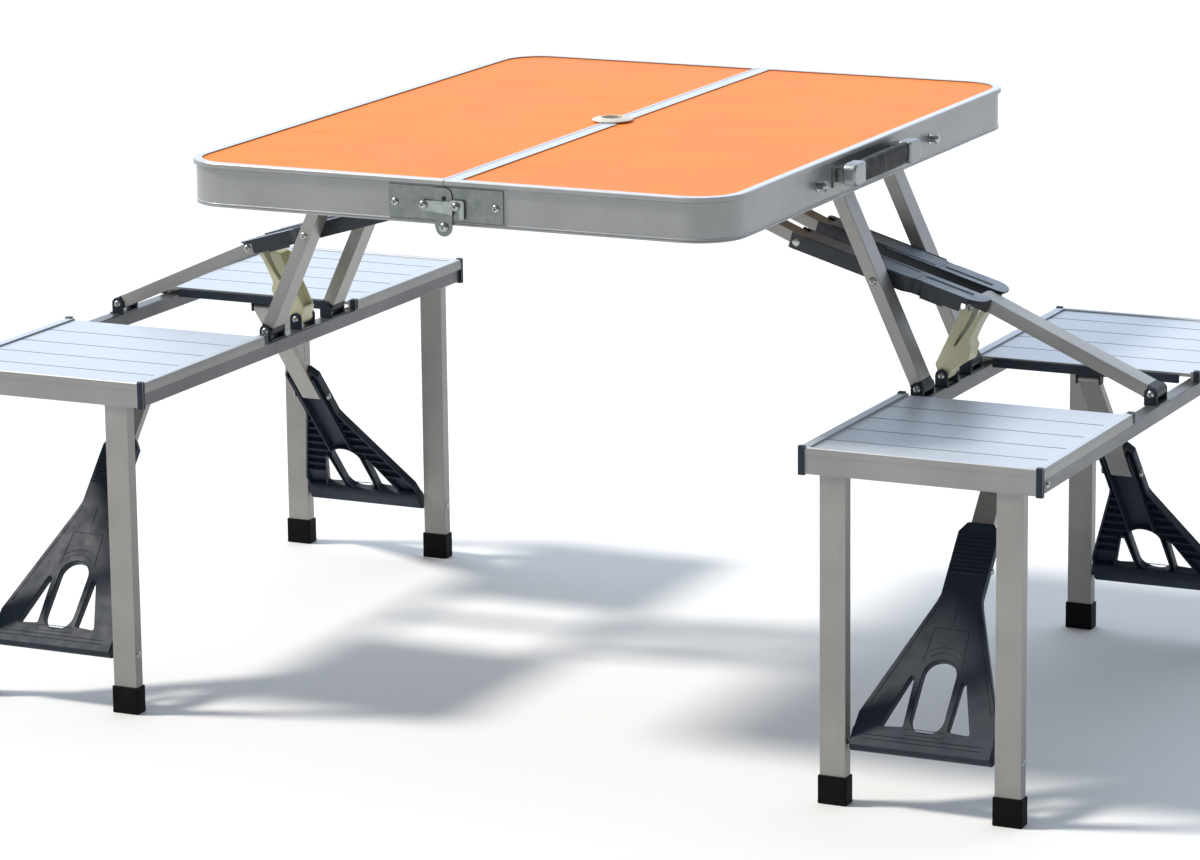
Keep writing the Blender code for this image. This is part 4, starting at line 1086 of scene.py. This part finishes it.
def oval(radius):
    """The long round window in the middle of the fan, or a collar about it."""
    return arc((0.0, OVAL_U[1]), radius, 0, 180, 20) + arc((0.0, OVAL_U[0]), radius, 180, 360, 20)


def stroke(bm, points, z, width=LINE_WIDTH):
    """A fine raised line along a path on a flat face, one bar for each step."""
    for a, b in zip(points, points[1:]):
        a, b = Vector(a), Vector(b)
        way = (b - a).normalized()
        off = Vector((-way.y, way.x)) * width / 2
        a, b = a - way * width / 3, b + way * width / 3
        join(bm, plate([[tuple(a + off), tuple(a - off), tuple(b - off), tuple(b + off)]], *z, width * 0.3))


def fan_shell(bm):
    """The front face with its three windows, the outer wall and a collar behind each window."""
    middle = oval(OVAL_R)
    windows = [rounded([(s * 0.0280, 0.0940), (s * 0.0257, 0.0220), (s * 0.0515, 0.0200)], 0.0024)
               for s in (-1, 1)]
    edge = rounded(fan_outline(), FAN_EDGE)
    join(bm, plate([edge, middle, *windows], *FACE_Z, 0.0009))
    join(bm, plate([edge, rounded(inset(fan_outline(), 0.0026), 0.0020)], *WALL_Z, 0.0005))
    join(bm, plate([oval(COLLAR_R), middle], *COLLAR_Z, 0.0004))
    for s, hole in zip((-1, 1), windows):
        ring = rounded([(s * 0.0263, 0.1000), (s * 0.0235, 0.0200), (s * 0.0555, 0.0176)], 0.0030)
        join(bm, plate([ring, hole], *COLLAR_Z, 0.0004))


def fan_back(bm):
    """The lattice of ribs behind the face, and the bar that turns between the two legs."""
    for k in range(-6, 7):
        w = k * RIB_PITCH
        block(bm, (w - RIB_HALF, w + RIB_HALF), (0.0060, 0.0180), RIB_Z, 0.0003)
    for s in (-1, 1):
        for u in CROSS_RIBS_U:
            outer = 0.0795 - (u - 0.0340) * 0.3807 - 0.0015
            inner = 0.0560 - (u - 0.0200) * 0.36 if u < 0.098 else 0.0165
            block(bm, sorted((s * inner, s * outer)), (u - RIB_HALF, u + RIB_HALF), RIB_Z, 0.0003)
        block(bm, sorted((s * 0.0153, s * 0.0171)), (0.1060, 0.2590), (-0.0050, 0.0060), 0.0004)
    bar = arc((0.0130, 0.0006), PIVOT_BAR_R, -90, 90, 10) + arc((0.0, 0.0), PIVOT_BAR_R, 90, 270, 10)
    join(bm, standing("X", [bar], -PIVOT_BAR_HALF, PIVOT_BAR_HALF, 0.0010))


def fan_front(bm):
    """Raised lines on the face, and thumb ribs across the neck."""
    for s in (-1, 1):
        stroke(bm, [(s * 0.0690, 0.0460), (s * 0.0200, 0.1760)], LINE_Z)
        stroke(bm, [(s * 0.0230, 0.1000), (s * 0.0200, 0.1420)], LINE_Z)
    stroke(bm, [(-0.0200, 0.1420), (0.0200, 0.1420)], LINE_Z)
    stroke(bm, [(0.0, 0.1470), (0.0, 0.1760)], FINE_LINE_Z)
    for radius in (0.0255, 0.0320):
        stroke(bm, arc((0.0, 0.0880), radius, 50, 130, 8), FINE_LINE_Z)
    frame_line = [(-0.0235, 0.0130), (0.0235, 0.0130), (0.0235, 0.0200), (-0.0235, 0.0200)]
    stroke(bm, rounded(frame_line, 0.0030, 3)[1:-1], LINE_Z)
    for u in (0.0035, 0.0085):
        stroke(bm, [(-0.0680, u), (0.0680, u)], BASE_LINE_Z)
    for k in range(NECK_RIB_COUNT):
        u = NECK_RIB_U + k * NECK_RIB_PITCH
        block(bm, (-0.0205, 0.0205), (u - 0.0012, u + 0.0012), (0.0076, 0.0102), 0.0009)


def build_fans():
    """The moulded fan between two seat legs, with the screws of its knee."""
    bm = bmesh.new()
    fan_shell(bm)
    fan_back(bm)
    fan_front(bm)
    bmesh.ops.transform(bm, matrix=FAN_PLACE, verts=bm.verts)
    for piece in quarters(new_object("fan", bm, MATS["slate"]), "fan_{end}_{side}"):
        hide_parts(piece.name.replace("fan_", "fan_brace_"))
    bm = bmesh.new()
    knee = FAN_PLACE @ Vector((0, FAN_REACH, 0))
    for s in (-1, 1):
        screw(bm, (SEAT_MID_X + s * KNEE_HALF, knee.y, knee.z), (s, 0, 0), 0.0040, 0.5)
    quarters(new_object("knee_screws", bm, MATS["screw"]), "fan_{end}_{side}")


add_camera()
add_studio()
keep_all()
build_rings()
build_latches()
build_grip()
build_handle()
build_studs()
build_arms()
build_leg_details()
build_seat_details()
build_seat_feet()
build_fans()
